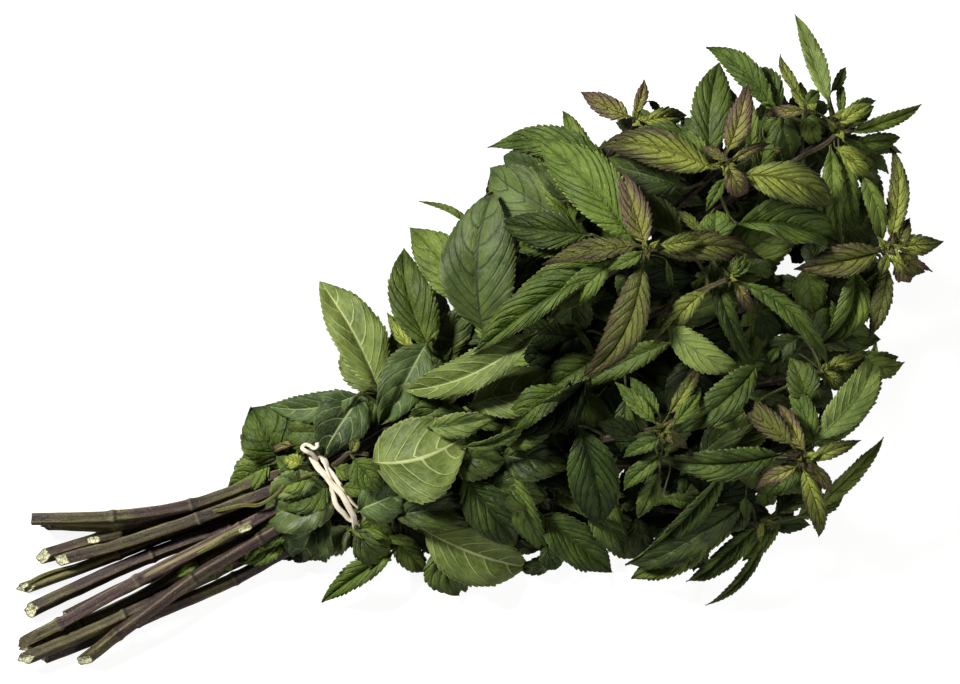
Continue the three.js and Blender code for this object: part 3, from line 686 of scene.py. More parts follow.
def leaf_paint():
    """Colour of a leaf face: two greens in soft patches, a young green near the stalk, a purple
    stain towards the tip and the margin, veins, and a thin pale margin line, which is a painted
    highlight of the lit rim and takes the purple stain where the leaf has it.

    Leaf Tint is (purple stain, tone from 0 to 1, how much of the young green).
    """
    tree, given, put = new_group(
        "Mint leaf paint",
        {"vector": "Leaf Place, Leaf Tint, Spot", "colour": "Deep, Light, Young, Vein, Edge, Flush",
         "value": "Vein Amount, Net Amount, Vein Width"},
        {"colour": "Color", "value": "Relief, Roughness"})
    flush, tone, yellow = split(given["Leaf Tint"])
    veins = node(tree, "Group", {"node_tree": VEINS}, Leaf_Place=given["Leaf Place"],
                 Vein_Width=given["Vein Width"], Net_Width=0.14)
    cloud = speckle(given["Spot"], 95.0, 3.0)
    grain = speckle(given["Spot"], 1400.0)
    patch, fine = veins["Patch"] - 0.5, (grain - 0.5) * 0.5
    shade = cloud.fade(0.3, 0.72) + fine + (tone - 0.5) * 0.9 + patch * 0.8
    green = shade.at_least(0.0).at_most(1.0).blend(given["Deep"], given["Light"])
    green = yellow.blend(green, given["Young"])
    stained = flush + patch * 1.5 + veins["Side Veins"] * 0.25 + fine
    green = stained.fade(0.36, 0.95, 0.0, 0.85).blend(green, given["Flush"])
    green = (veins["Net"] * given["Net Amount"]).blend(green, given["Vein"])
    green = (veins["Side Veins"] * given["Vein Amount"]).blend(green, given["Vein"])
    # Painted highlight: a pale line along the margin, as if its rim caught the light; where the
    # leaf is stained it takes the real purple instead.
    edge = (flush * 1.6).at_most(1.0).blend(given["Edge"], given["Flush"])
    green = (veins["Margin"] * 0.55).blend(green, edge)
    rib = veins["Midrib"] * (given["Vein Amount"] * 1.2)
    put(Color=rib.at_most(0.9).blend(green, given["Vein"]), Relief=veins["Relief"] + grain * 0.4,
        Roughness=cloud * 0.25 + 0.43)
    return tree


LEAF_PAINT = leaf_paint()


def long_grain():
    """Streaks along a stem or a strand.

    Grain Place is (cosine and sine round it, metres along it).
    """
    tree, given, put = new_group(
        "Grain along a strand",
        {"vector": "Grain Place", "value": "Across, Along, Detail, Roughness"}, {"value": "Grain"})
    around, rise, along = split(given["Grain Place"])
    stretched = join(around * given["Across"], rise * given["Across"], along * given["Along"])
    put(Grain=speckle(stretched, 1.0, given["Detail"], given["Roughness"]))
    return tree


LONG_GRAIN = long_grain()


def grain_of(place, across, along, detail, roughness=0.6):
    return node(place.tree, "Group", {"node_tree": LONG_GRAIN}, Grain_Place=place, Across=across,
                Along=along, Detail=detail, Roughness=roughness)["Grain"]


def bark_paint():
    """Skin of a stem: streaks of two browns, wine red or green stretches, painted shade between
    the ridges and a painted highlight along them, flecks, pits, and pale node rings with a dark
    line behind them.

    Bark Tint is (greener above 0 and redder below, node ring and a pale top line that is partly
    painted light, ridge).
    """
    tree, given, put = new_group(
        "Mint bark",
        {"vector": "Bark Place, Bark Tint, Spot", "colour": "Brown, Pale, Green, Ring"},
        {"colour": "Color", "value": "Relief, Roughness"})
    greenness, ringed, ridge = split(given["Bark Tint"])
    streak = grain_of(given["Bark Place"], 4.2, 60.0, 4.0, 0.65)
    fibre = grain_of(given["Bark Place"], 15.0, 110.0, 3.0)
    patch = speckle(given["Spot"], 42.0, 2.0, 0.5)
    fleck = speckle(given["Spot"], 1300.0).fade(0.6, 0.72)
    pit = speckle(given["Spot"], 1700.0).fade(0.46, 0.36)
    skin = streak.fade(0.38, 0.62).blend(given["Brown"], given["Pale"])
    wine = fibre.fade(0.38, 0.62).blend(colour("2c171c"), colour("6a4c4e"))
    reddened = (greenness * -1.0).at_least(0.0) * streak.fade(0.3, 0.75, 0.55, 1.0)
    skin = reddened.blend(skin, wine)
    greened = greenness.at_least(0.0) * (streak + patch * 0.5).fade(0.5, 0.85, 0.3, 1.0)
    skin = greened.blend(skin, fibre.fade(0.35, 0.65).blend(colour("3f3d1a"), given["Green"]))
    skin = patch.fade(0.55, 0.75, 0.0, 0.35).blend(skin, given["Green"])
    # Painted shade: the faces between the corners darken towards near-black.
    skin = ridge.fade(0.5, 0.05, 0.0, 0.55).blend(skin, colour("17100c"))
    # Painted highlight: a pale line along each corner of the stem.
    painted_ridge_highlight = ridge.fade(0.82, 1.0) * fibre.fade(0.35, 0.65, 0.1, 0.6)
    skin = painted_ridge_highlight.blend(skin, given["Ring"])
    skin = fibre.fade(0.5, 0.32, 0.0, 0.75).blend(skin, colour("120c0a"))
    skin = (fleck * 0.3).blend(skin, colour("a89c80"))
    skin = (pit * 0.75).blend(skin, colour("100b09"))
    pale_ring = ringed.at_least(0.0) * fibre.fade(0.3, 0.6, 0.45, 0.95)
    skin = pale_ring.blend(skin, given["Ring"])
    put(Color=ringed.fade(0.0, -0.8, 0.0, 0.8).blend(skin, colour("0e0a08")),
        Relief=fibre * 0.6 + streak * 0.5, Roughness=streak.fade(0.3, 0.7, 0.42, 0.6))
    return tree


BARK_PAINT = bark_paint()


def new_material(name, gloss=0.5):
    """A material: itself, its tree and its shader."""
    material = bpy.data.materials.new(name)
    material.use_nodes = True
    shader = material.node_tree.nodes["Principled BSDF"]
    shader.inputs["Specular IOR Level"].default_value = gloss
    return material, material.node_tree, shader


def attribute(tree, name):
    return node(tree, "Attribute", {"attribute_name": name})["Vector"]


def spot(tree):
    return node(tree, "TexCoord")["Object"]


def coat(tree, shader, skin, roughness, relief, strength, depth, raised=False):
    """Gives the shader its colour, its roughness and a relief of some depth in mm."""
    bump = node(tree, "Bump", {"invert": raised}, Strength=strength, Distance=depth * MM,
                Height=relief)
    fill(shader.inputs, {"Base Color": skin, "Roughness": roughness, "Normal": bump["Normal"]})


def leaf_material(name, colours, vein_amount, net_amount, vein_width, raised=False, gloss=0.32,
                  relief=1.0):
    """The six colours are those of leaf_paint, in its order. raised is for an underside, where
    the veins stand out instead of lying sunken."""
    material, tree, shader = new_material("Mint leaf, " + name, gloss)
    names = ("Deep", "Light", "Young", "Vein", "Edge", "Flush")
    tones = dict(zip(names, map(colour, colours.split())))
    paint = node(tree, "Group", {"node_tree": LEAF_PAINT}, Leaf_Place=attribute(tree, "leaf_place"),
                 Leaf_Tint=attribute(tree, "leaf_tint"), Spot=spot(tree), Vein_Amount=vein_amount,
                 Net_Amount=net_amount, Vein_Width=vein_width, **tones)
    coat(tree, shader, paint["Color"], paint["Roughness"], paint["Relief"], relief, 0.7, raised)
    return material


LOOKS = {
    "fresh": leaf_material("fresh green", "364a13 60752c 7b9138 26330c a0ac60 54422a",
                           0.45, 0.16, 0.055, relief=0.85),
    "mid": leaf_material("mid green", "374713 65772f 80942e 26320c 8f9c5c 4a3c26",
                         0.4, 0.16, 0.05, relief=0.75),
    "dark": leaf_material("dark green", "242f0c 4a5a1c 5d7123 5c7042 707d46 3a2f1e",
                          0.3, 0.1, 0.04, relief=0.65),
    "grey": leaf_material("grey green", "34441b 5a6c34 6c7e3c 1c2611 8a9662 4c3f2a",
                          0.7, 0.16, 0.075, relief=0.45),
    "deep": leaf_material("deep green", "26350e 4e621e 5f7625 1c270a 8a9260 4a3c26",
                          0.4, 0.16, 0.05, relief=0.9),
    # The look "bottle" is a dark green made darker still as painted shade, for leaves that lie in
    # shade among the others but stand open to the lamps here.
    "bottle": leaf_material("bottle green, darkened as painted shade", "16240a 354a10 465c18 0f1806 66752e 3a2f1e",
                            0.45, 0.16, 0.05, relief=0.9),
    "slate": leaf_material("slate green", "223018 46592c 5a7034 8d9c66 788450 3a2f1e",
                           0.7, 0.12, 0.036, gloss=0.25, relief=0.3),
    "limp": leaf_material("limp and satiny", "3d4c22 6a7a42 7a8c46 8a9a5c 98a26e 4c3f2a",
                          0.3, 0.1, 0.03, gloss=0.5, relief=0.25),
    "under": leaf_material("underside", "4d5d26 70813b 7f8f46 aab078 a2aa70 6d6242",
                           0.8, 0.12, 0.042, raised=True, gloss=0.25, relief=0.4),
    "pale": leaf_material("pale face", "4e612a 7e8e48 8d9f4a 3b4b20 b0b682 6d6242",
                          0.45, 0.2, 0.045, raised=True, gloss=0.3, relief=0.5),
    "young": leaf_material("young", "45531e 7b873c a6ae4a 2c2612 888452 3f3023", 0.5, 0.2, 0.055),
    "tawny": leaf_material("tawny green", "353b17 646a31 80863c 2a2412 80784c 4a382a",
                           0.5, 0.2, 0.055),
    "purple": leaf_material("flushed purple", "5b5c2a 98944f aeb054 34211a 7c684e 604744",
                            0.55, 0.2, 0.06),
    "bright": leaf_material("bright yellow green", "697928 a8b652 bcc358 4a5a1c b4b870 6a5038",
                            0.4, 0.16, 0.06),
    # The look "inner" is painted shade: near-black greens with little gloss stand in for the shade
    # in the hollows of the bunch, on both faces of its leaves.
    "inner": leaf_material("painted shade deep in the bunch", "10180a 20290f 283416 0a0e05 2e3820 1e1a12",
                           0.4, 0.15, 0.05, gloss=0.08),
}
BACKS = {look: LOOKS["under"] for look in LOOKS} | {"under": LOOKS["mid"], "inner": LOOKS["inner"]}


def bark_material(name, brown, pale, green, ring):
    material, tree, shader = new_material(name, gloss=0.4)
    paint = node(tree, "Group", {"node_tree": BARK_PAINT}, Bark_Place=attribute(tree, "bark_place"),
                 Bark_Tint=attribute(tree, "bark_tint"), Spot=spot(tree), Brown=colour(brown),
                 Pale=colour(pale), Green=colour(green), Ring=colour(ring))
    coat(tree, shader, paint["Color"], paint["Roughness"], paint["Relief"], 0.9, 0.4)
    return material


def pith_material():
    """The cut end: pale green-white pith with darker fibres and a dull middle."""
    material, tree, shader = new_material("Cut stem end")
    grain = speckle(spot(tree), 1500.0, 3.0)
    cloud = speckle(spot(tree), 500.0, 2.0, 0.5)
    tone = grain.fade(0.38, 0.6).blend(colour("8a8a5e"), colour("d6d6b4"))
    tone = cloud.fade(0.54, 0.68, 0.0, 0.75).blend(tone, colour("4a3f22"))
    coat(tree, shader, tone, grain.fade(0.3, 0.7, 0.55, 0.75), grain, 0.7, 0.3)
    return material


def rubber_material():
    """Cream rubber, a little grubby in patches, with fine lines along the strand."""
    material, tree, shader = new_material("Cream rubber")
    line = grain_of(attribute(tree, "bark_place"), 5.0, 120.0, 3.0)
    grime = speckle(spot(tree), 260.0, 3.0)
    tone = line.fade(0.3, 0.7).blend(colour("d9ccb0"), colour("f1e9da"))
    tone = grime.fade(0.56, 0.74, 0.0, 0.45).blend(tone, colour("b3a173"))
    coat(tree, shader, tone, grime.fade(0.3, 0.7, 0.42, 0.6), line, 0.35, 0.2)
    return material


def floor_material():
    """A white table, lit through from below so that shadows on it stay faint."""
    material, tree, shader = new_material("White table", gloss=0.1)
    grain = speckle(spot(tree), 30.0, 2.0, 0.5)
    seen = node(tree, "LightPath")["Is Camera Ray"]
    fill(shader.inputs, {"Base Color": grain.blend(colour("8c8c8c"), colour("949494")),
                         "Roughness": 0.9, "Emission Color": (1, 1, 1, 1),
                         "Emission Strength": seen * 0.9})
    return material


BARK = bark_material("Mint stem", "1c110f", "533e35", "828040", "9b9061")
SHOOT = bark_material("Mint side shoot", "55552a", "85843f", "9c9a52", "aeab74")
STALK = bark_material("Mint leaf stalk", "33301a", "565a2a", "666f2e", "7c8044")
PITH = pith_material()
RUBBER = rubber_material()

# ---- shaping ------------------------------------------------------------------------------------


class Piece:
    """A mesh being made, with the attributes that its materials read."""

    def __init__(self):
        self.mesh = bmesh.new()
        new_layer = self.mesh.verts.layers.float_vector.new
        self.leaf_place, self.leaf_tint = new_layer("leaf_place"), new_layer("leaf_tint")
        self.bark_place, self.bark_tint = new_layer("bark_place"), new_layer("bark_tint")
        self.front = new_layer("front")
        self.materials = []

    def slot(self, *materials):
        """The number of the first of these materials, which stand one after another."""
        for k in range(len(self.materials)):
            if tuple(self.materials[k:k + len(materials)]) == materials:
                return k
        self.materials.extend(materials)
        return len(self.materials) - len(materials)

    def finish(self, name, slot_name, *replaced):
        mesh = bpy.data.meshes.new(name)
        self.mesh.verts.layers.float_vector.remove(self.front)
        self.mesh.to_mesh(mesh)
        self.mesh.free()
        for material in self.materials:
            mesh.materials.append(material)
        made = bpy.data.objects.new(name, mesh)
        bpy.context.scene.collection.objects.link(made)
        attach(made, "root")
        if replaced:
            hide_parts(*replaced)


def sheet_grid(bm, columns, rows):
    """A flat grid: (vertex, column, row) for each of its vertices, and its faces."""
    verts = bmesh.ops.create_grid(bm, x_segments=columns, y_segments=rows, size=1)["verts"]
    faces = list(dict.fromkeys(face for vert in verts for face in vert.link_faces))
    for face in faces:
        face.smooth = True
    numbered = [(vert, round((vert.co.x + 1) / 2 * columns), round((vert.co.y + 1) / 2 * rows))
                for vert in verts]
    return numbered, faces


def tube(piece, line, sides, skin, material, closed=False, tint=(0, 0)):
    """A grid rolled round a line. skin(k, angle) gives the place across, the rise and the way on,
    at point k of the line."""
    bm = piece.mesh
    rings = len(line) if closed else len(line) - 1
    numbered, faces = sheet_grid(bm, rings, sides)
    directions, walked = [], [0]
    for k in range(rings + 1):
        if closed:
            along = line[(k + 1) % len(line)] - line[(k - 1) % len(line)]
        else:
            along = line[min(k + 1, rings)] - line[max(k - 1, 0)]
        directions.append(axes(along))
        walked.append(walked[-1] + (line[(k + 1) % len(line)] - line[k % len(line)]).length)
    for vert, k, turn in numbered:
        angle = (turn % sides) / sides * 2 * math.pi
        way, right, up = directions[k]
        across, rise, on = skin(k, angle)
        vert.co = line[k % len(line)] + right * across + up * rise + way * on
        vert[piece.bark_place] = (math.cos(angle), math.sin(angle), walked[k])
        vert[piece.bark_tint] = (tint[0], tint[1], 0.5 - 0.5 * math.cos(4 * angle))
    for face in faces:
        face.material_index = material
    verts = [row[0] for row in numbered]
    bmesh.ops.remove_doubles(bm, verts=verts, dist=1e-7)
    caps = []
    if not closed:
        rims = [e for face in faces if face.is_valid for e in face.edges if e.is_boundary]
        caps = bmesh.ops.holes_fill(bm, edges=list(dict.fromkeys(rims)), sides=0)["faces"]
        for cap in caps:
            cap.material_index = material
            cap.smooth = False
    return [row for row in numbered if row[0].is_valid], caps


BARE_SHARE = 0.04  # of the leaf's length, bare next to the stalk
TWIST_FROM = 0.35  # share of the length where a twisted blade lies level
DROOP_FROM = 0.45  # share of the length where a drooping tip begins to sink


def blade_outline(share, blunt):
    """Half the blade's width as a share of its greatest half width."""
    along = min(max((share - BARE_SHARE) / (1 - BARE_SHARE), 0), 1)
    rise, fall = 0.7 - 0.06 * blunt, 1.15 - 0.45 * blunt
    peak = rise / (rise + fall)
    return along ** rise * (1 - along) ** fall / (peak ** rise * (1 - peak) ** fall)


def leaf_surface(base, tip, width, arch, sway, roll, fold, blunt=0.3, twist=0, lopsided=0, curl=0):
    """The smooth blade as a function of the share of its length and the place across it."""
    start, end = place(base), place(tip)
    _, right, up = axes(end - start)
    lift = math.radians(fold)
    length = (end - start).length
    half, stalk = width * MM / 2, min(STALK_WIDTH, width * 0.12) * MM / 2

    def on_blade(share, across, height=0.0, beyond=0.0):
        bow = 4 * share * (1 - share) * MM
        neck = stalk * (1 - smooth(0.08, 0.3, share))
        wide = half * blade_outline(share, blunt) * (1 + math.copysign(lopsided, across))
        reach = max(wide, neck) * across + math.copysign(beyond, across)
        turn = math.radians(roll + twist * (share - TWIST_FROM))
        face = up * math.cos(turn) + right * math.sin(turn)
        side = right * math.cos(turn) - up * math.sin(turn)
        gull = abs(reach) * (2.1 - 1.35 * abs(across)) * math.sin(lift)
        droop = curl * max(0, share - DROOP_FROM) ** 2 * length
        spot_ = start.lerp(end, share)
        spot_ += face * (arch * bow + gull + height)
        spot_ += side * (sway * bow + reach * math.cos(lift))
        spot_.z -= droop
        return spot_

    return on_blade, half, length


# Habits of the looks: purple stain (drawn by lot where none is given), young green near the stalk,
# how blunt the tip is, and how far the face bulges between the side veins, which is below 0 where
# an underside faces up. A pleated leaf has its side veins closer together.
FLUSHES = {"young": 0.75, "tawny": 0.85, "purple": 1.1, "bright": 0.3, "pale": 0.05}
YOUNGS = {"young": 0.95, "tawny": 0.8, "purple": 0.6, "bright": 0.9, "fresh": 0.25, "mid": 0.25,
          "deep": 0.2, "bottle": 0.2, "under": 0.1, "grey": 0.1, "slate": 0.1, "limp": 0.1}
BLUNT = {"under": 0.6, "grey": 0.7, "dark": 0.35, "mid": 0.3, "deep": 0.3, "slate": 0.4,
         "limp": 0.5, "fresh": 0.15, "inner": 0.3}
BULGES = {"under": -0.4, "pale": -0.5, "grey": 0.3, "mid": 0.8, "fresh": 0.75, "slate": 0.4,
          "limp": 0.35}
PLEATED = ("fresh", "deep", "bottle", "young", "tawny", "purple", "bright", "pale")

STALK_COLUMNS = 3  # of a blade's grid, next to the stalk, where it has no teeth yet
STALK_SHARE = 0.05  # of the blade's length that they take up
SWEEP_PEAK = 0.1794  # the greatest value of x ** 1.8 * (1 - x) ** 0.9
VEIN_PITCH, PLEAT_PITCH = 8.5, 7  # from one side vein to the next
DEEPEST_TOOTH = 0.75
MOST_SWEPT = 0.41  # how far forward the side veins reach, as a share of the blade's length
WIDE, MIDDLING = 15, 9.5  # widths above which a blade has more faces across
LUMP_SIZE = 6.5  # of the hollows and swellings on a blade
TIE_CRUMPLE = 0.13  # added to the height of those on the limp leaves round the tie

# Rise of a tooth from column to column, and faces across a wide, a middling and a narrow blade.
FINE = ((0, 0.42, 0.74, 0.94, 1), 16, 12, 8)
PLAIN = ((0, 0.5, 0.86, 1), 10, 8, 6)
COARSE = ((0, 0.62, 1), 6, 6, 4)


def leaf(piece, row, chance, wander, crumple, detail):
    """One toothed, quilted leaf blade, still without its thickness. wander from 0 to 1 says how
    far its twist and bend may stray from the row."""
    base, tip, width, arch, sway, roll, fold, look = row
    reach = (Vector(tip) - Vector(base)).length
    sway += chance.uniform(-0.04, 0.04) * reach * wander
    arch += chance.uniform(-0.02, 0.05) * reach * wander
    twist = chance.uniform(-42, 42) * (0.4 + 0.6 * wander)
    fold = fold * 1.15 + chance.uniform(2, 12)
    curl = chance.uniform(-0.1, 0.6)
    blunt = BLUNT.get(look, 0) * chance.uniform(0.7, 1.2)
    on_blade, half, length = leaf_surface(base, tip, width, arch, sway, roll, fold, blunt,
                                          twist, chance.uniform(-0.09, 0.09), curl)
    teeth = max(5, round(length / MM / TOOTH_PITCH))
    veins = 2 + max(3, round(length / MM / (PLEAT_PITCH if look in PLEATED else VEIN_PITCH)))
    steps = len(detail[0])
    columns = STALK_COLUMNS + steps * teeth
    depth = min(DEEPEST_TOOTH, 0.14 + 0.06 * width) * MM
    steep = min(2.1 * half / length, MOST_SWEPT)
    rows = detail[1] if width > WIDE else detail[2] if width > MIDDLING else detail[3]
    raised = BULGES.get(look, 1)
    quilt = [raised * min(0.42, 0.032 * width) * chance.uniform(0.5, 1.25) * MM for _ in (0, 1)]
    waves, phase = chance.uniform(1.2, 2.6), chance.uniform(0, FULL_TURN)
    ripple = chance.uniform(0.03, 0.08) * width * MM
    seed, tone = chance.random(), chance.uniform(0.1, 0.9)
    crease = Vector((seed * 90, tone * 40, 0))
    creased = (0.03 + crumple) * min(width, 16) * MM
    sizes = [chance.uniform(0.45, 1.25) for _ in range(2 * teeth + 2)]
    flush = FLUSHES.get(look, chance.choice((0.1, 0.2, 0.35))) * chance.uniform(0.7, 1.15)
    young = YOUNGS.get(look, 0) * chance.uniform(0.5, 1.15)
    numbered, faces = sheet_grid(piece.mesh, columns, rows)
    ends = []
    for vert, column, row_ in numbered:
        spread = row_ / rows * 2 - 1
        across = -math.copysign(abs(spread) ** 1.15, spread)
        out = abs(across)
        toothed = column - STALK_COLUMNS
        if toothed < 0:
            edge, tooth = column / STALK_COLUMNS * STALK_SHARE, 0
        else:
            edge = STALK_SHARE + (1 - STALK_SHARE) * toothed / (steps * teeth)
            tooth = detail[0][toothed % steps]
        own = edge - steep * edge ** 1.8 * (1 - edge) ** 0.9 / SWEEP_PEAK
        hook = tooth ** 3 * out ** 8 * 0.17 / teeth
        share = min(own + (edge - own) * out ** 1.5 + hook, 1)
        run = mix(own, edge, 0.5) * veins + (0.35 if across < 0 else 0)
        bulge = abs(math.sin(math.pi * run)) ** 0.8 * min(1, out * 4) * (1 - out ** 5)
        groove = -0.9 * math.exp(-(out / 0.09) ** 2) * smooth(0, 0.1, own) * (1 - 0.6 * own)
        narrow = min(1, blade_outline(share, blunt) * 1.4)
        height = quilt[across > 0] * (bulge + groove) * narrow
        wave = FULL_TURN * waves * share + phase + (across > 0) * 1.7
        height += ripple * out * out * math.sin(wave)
        lump = Vector((share * length, across * half, 0)) / (LUMP_SIZE * MM)
        height += creased * noise.noise(crease + lump) * smooth(0, 0.2, share)
        size = sizes[toothed // steps * 2 + (across > 0)] if toothed > 0 else 0
        beyond = depth * size * tooth * out ** 9 * narrow
        vert.co = on_blade(share, across, height, beyond)
        vert.co.z = max(vert.co.z, (LEAST_HEIGHT + LEAF_THICKNESS) * MM)
        vert[piece.leaf_place] = (run, across, seed)
        stain = flush * mix(0.3, 1, smooth(0.25, 0.95, 0.65 * share + 0.5 * out))
        vert[piece.leaf_tint] = (stain, tone, young * (1 - out * out) * (1 - 0.9 * share))
        if column == columns:
            ends.append(vert)
    front = piece.slot(LOOKS[look], BACKS[look])
    for face in faces:
        face.material_index = front
    bmesh.ops.remove_doubles(piece.mesh, verts=ends, dist=0.03 * MM)


def thicken(piece):
    """Gives every blade its thickness, with the paler face underneath."""
    bm = piece.mesh
    first = set(bm.verts)
    for vert in first:
        vert[piece.front] = vert.co
    bm.normal_update()
    bmesh.ops.solidify(bm, geom=bm.faces[:], thickness=LEAF_THICKNESS * MM)
    for vert in bm.verts:
        step = vert.co - vert[piece.front]
        if step.length > 1.5 * LEAF_THICKNESS * MM:
            vert.co = vert[piece.front] + step.normalized() * LEAF_THICKNESS * MM
        vert.co.z = max(vert.co.z, LEAST_HEIGHT * MM)
    for face in bm.faces:
        if not any(vert in first for vert in face.verts):
            face.material_index += 1


STEM_POINTS = [(name, k) for name, route in ROUTES.items() for k in range(6, len(route) - 1)]
NEAR_STEM = KDTree(len(STEM_POINTS))
for number, (name, k) in enumerate(STEM_POINTS):
    NEAR_STEM.insert(ROUTES[name][k], number)
NEAR_STEM.balance()

SHORTEST_STALK = 0.8
STALK_STEP, STALK_SIDES = 2.2, 6  # between rings, and round each of them
STALK_LEAST_HEIGHT = 0.9  # of its middle line, above the floor
STALK_OVERLAP = 0.6  # how far it runs on into the blade


def stalk(piece, row, material):
    """A bent stalk from the leaf's base back to the stem that it grows on."""
    base, tip, width = row[:3]
    start = place(base)
    way = (place(tip) - start).normalized()
    best, least = None, STALK_REACH * MM
    for spot_, number, distance in NEAR_STEM.find_range(start, STALK_REACH * MM):
        ahead = (spot_ - start).dot(way)
        cost = distance + max(ahead, 0) * 1.5
        if cost < least:
            best, least = number, cost
    if best is None:
        return
    name, k = STEM_POINTS[best]
    root = ROUTES[name][k]
    reach = (start - root).length
    if reach < SHORTEST_STALK * MM:
        return
    stem_way = (ROUTES[name][k + 1] - root).normalized()
    bend_a, bend_b = root + stem_way * reach * 0.3, start - way * reach * 0.2
    bend_b.z -= 0.45 * max(0, reach - 5 * MM)
    count = max(3, round(reach / MM / STALK_STEP))
    line = []
    for step in range(count + 1):
        t = step / count
        spot_ = (root * (1 - t) ** 3 + bend_a * 3 * t * (1 - t) ** 2
                 + bend_b * 3 * t * t * (1 - t) + start * t ** 3)
        spot_.z = max(spot_.z, STALK_LEAST_HEIGHT * MM)
        line.append(spot_)
    line.append(start + way * STALK_OVERLAP * MM)
    thick = min(STALK_WIDTH, width * 0.12) * MM / 2
    rooted = thick * (1 + 0.25 * min(reach / MM / 12, 1.5))

    def skin(ring, angle):
        r = mix(rooted, thick, ring / (count + 1))
        return r * math.cos(angle), 0.8 * r * math.sin(angle), 0

    tube(piece, line, STALK_SIDES, skin, material, tint=(0.6, 0))


def leafy(name, rows, slot_name, *replaced):
    """One piece of leaves: blades, their thickness, and their stalks."""
    chance = random.Random(name)
    piece = Piece()
    detail = FINE if replaced else PLAIN if name in GROUPS else COARSE
    wander, crumple = 0 if replaced else 1, TIE_CRUMPLE if name == "tie_leaves" else 0
    for row in rows:
        leaf(piece, row, chance, wander, crumple, detail)
    thicken(piece)
    material = piece.slot(STALK)
    for row in rows:
        stalk(piece, row, material)
    piece.finish(name, slot_name, *replaced)


def open_cut(piece, cap, pith, rim, depth):
    """Turns a flat end into pith inside a rim of bark."""
    bmesh.ops.inset_individual(piece.mesh, faces=[cap], thickness=rim)
    cap.material_index = pith
    bmesh.ops.poke(piece.mesh, faces=[cap], offset=-depth)


# How far the cut slants, upwards and sideways, in mm for each mm across the stem.
CUTS = {"stem_01": (0.1, 0), "stem_02": (1.5, 0.3), "stem_03": (1.15, -0.3), "stem_04": (1.1, 0.2),
        "stem_05": (1.5, 0.7), "stem_06": (1.15, -0.1), "stem_07": (1.9, -0.7),
        "stem_08": (0.8, 0.4), "stem_09": (1.35, 0.5), "stem_10": (0.8, 0), "stem_11": (0.7, 0.3),
        "stem_12": (1.5, 0.5)}
# How stout a stem is towards its cut end, where it isn't the usual 1.05.
STOUT = {"stem_06": 1.18, "stem_03": 1.14, "stem_04": 1.14, "stem_07": 1.16, "stem_10": 1.08,
         "stem_02": 0.92, "stem_05": 0.95}
DULL_ENDS = ("stem_01", "stem_07")  # dried dark, with no pale pith to see
HIDDEN_RING = 130  # steps along a stem to its first node ring inside the head
RING_SPACING = 34  # steps from there to each of the next ones
CUT_RIM, CUT_DEPTH = 0.35, 0.6  # bark left round the pith, and how far the pith lies sunken
SHOOT_RIM, SHOOT_DEPTH = 0.2, 0.3  # the same on side shoots


def stem_piece(row):
    """A square stem with ridged corners, swollen node rings and a slanting cut end."""
    name, _, nodes, greens = row
    route = ROUTES[name]
    chance = random.Random(name)
    piece = Piece()
    bark, pith = piece.slot(BARK), piece.slot(PITH)
    last = len(route) - 1
    twist = chance.uniform(-0.5, 0.5)
    lumps = Vector((chance.uniform(0, 90), 0, 0))
    start_angle = chance.uniform(0, QUARTER_TURN)
    cut_up, cut_side = CUTS[name]
    table_x = [spot_.x / MM + MIDDLE.x for spot_ in route]
    rings = list(nodes)
    rings += [table_x[k] for k in range(HIDDEN_RING, last - 6, RING_SPACING)]

    def ring_at(k, width=0.9):
        return max(math.exp(-((table_x[k] - x) / width) ** 2) for x in rings)

    def skin(k, angle):
        share = k / last
        half = mix(STEM_WIDTH, STEM_TIP_WIDTH, share * share) / 2 * MM
        half *= 1 + (STOUT.get(name, 1.05) - 1) * (1 - smooth(0.25, 0.4, share))
        corner = math.cos(4 * (angle + start_angle + twist * share))
        square = 0.93 - 0.12 * corner + 0.035 * math.cos(8 * (angle + start_angle + twist * share))
        scar = ring_at(k) * max(0, math.cos(2 * (angle + start_angle + EIGHTH_TURN)))
        bumps = noise.noise(lumps + Vector((k * 0.16, 2 * math.cos(angle), 2 * math.sin(angle))))
        swollen = 0.09 * ring_at(k, 1.6) + 0.09 * ring_at(k, 0.6)
        r = half * square * (1 + swollen + 0.2 * scar + 0.08 * bumps)
        across, rise = r * math.cos(angle), r * math.sin(angle)
        ragged = noise.noise(lumps + Vector((9, 4 * math.cos(angle), 4 * math.sin(angle))))
        slope = (cut_up * rise + cut_side * across + 0.9 * MM * ragged) * max(0, 1 - k / 10)
        return across, rise, slope

    shaped, caps = tube(piece, route, STEM_SIDES, skin, bark)
    for vert, k, turn in shaped:
        x = table_x[k]
        here = [amount * smooth(low - 3, low + 3, x) * smooth(high + 2, high - 2, x)
                for low, high, amount in greens]
        green = min(here) if min(here) < 0 else max(here)
        angle = turn / STEM_SIDES * 2 * math.pi
        ridge = 0.5 - 0.5 * math.cos(4 * (angle + start_angle + twist * k / last))
        # Greener than 0.9, a stretch also gets a pale line along the top of the stem; on stem_02,
        # which stem_01 shades, this is painted light.
        top_line_partly_painted_light = max(0, max(here) - 0.9) * 1.3 if turn in (6, 7) else 0
        pale = 0.3 * ring_at(k, 0.7) - 0.9 * ring_at(max(k - 1, 0), 0.6)
        vert[piece.bark_tint] = (green, top_line_partly_painted_light if top_line_partly_painted_light else pale, ridge)
        vert.co.z = max(vert.co.z, LEAST_HEIGHT * MM)
    for cap in caps:
        if name not in DULL_ENDS and cap.calc_center_median().x < route[4].x:
            open_cut(piece, cap, pith, CUT_RIM * MM, CUT_DEPTH * MM)
    piece.finish("mint_" + name, "stem", name)


# ---- the bunch ----------------------------------------------------------------------------------

for stem_row in STEMS:
    stem_piece(stem_row)

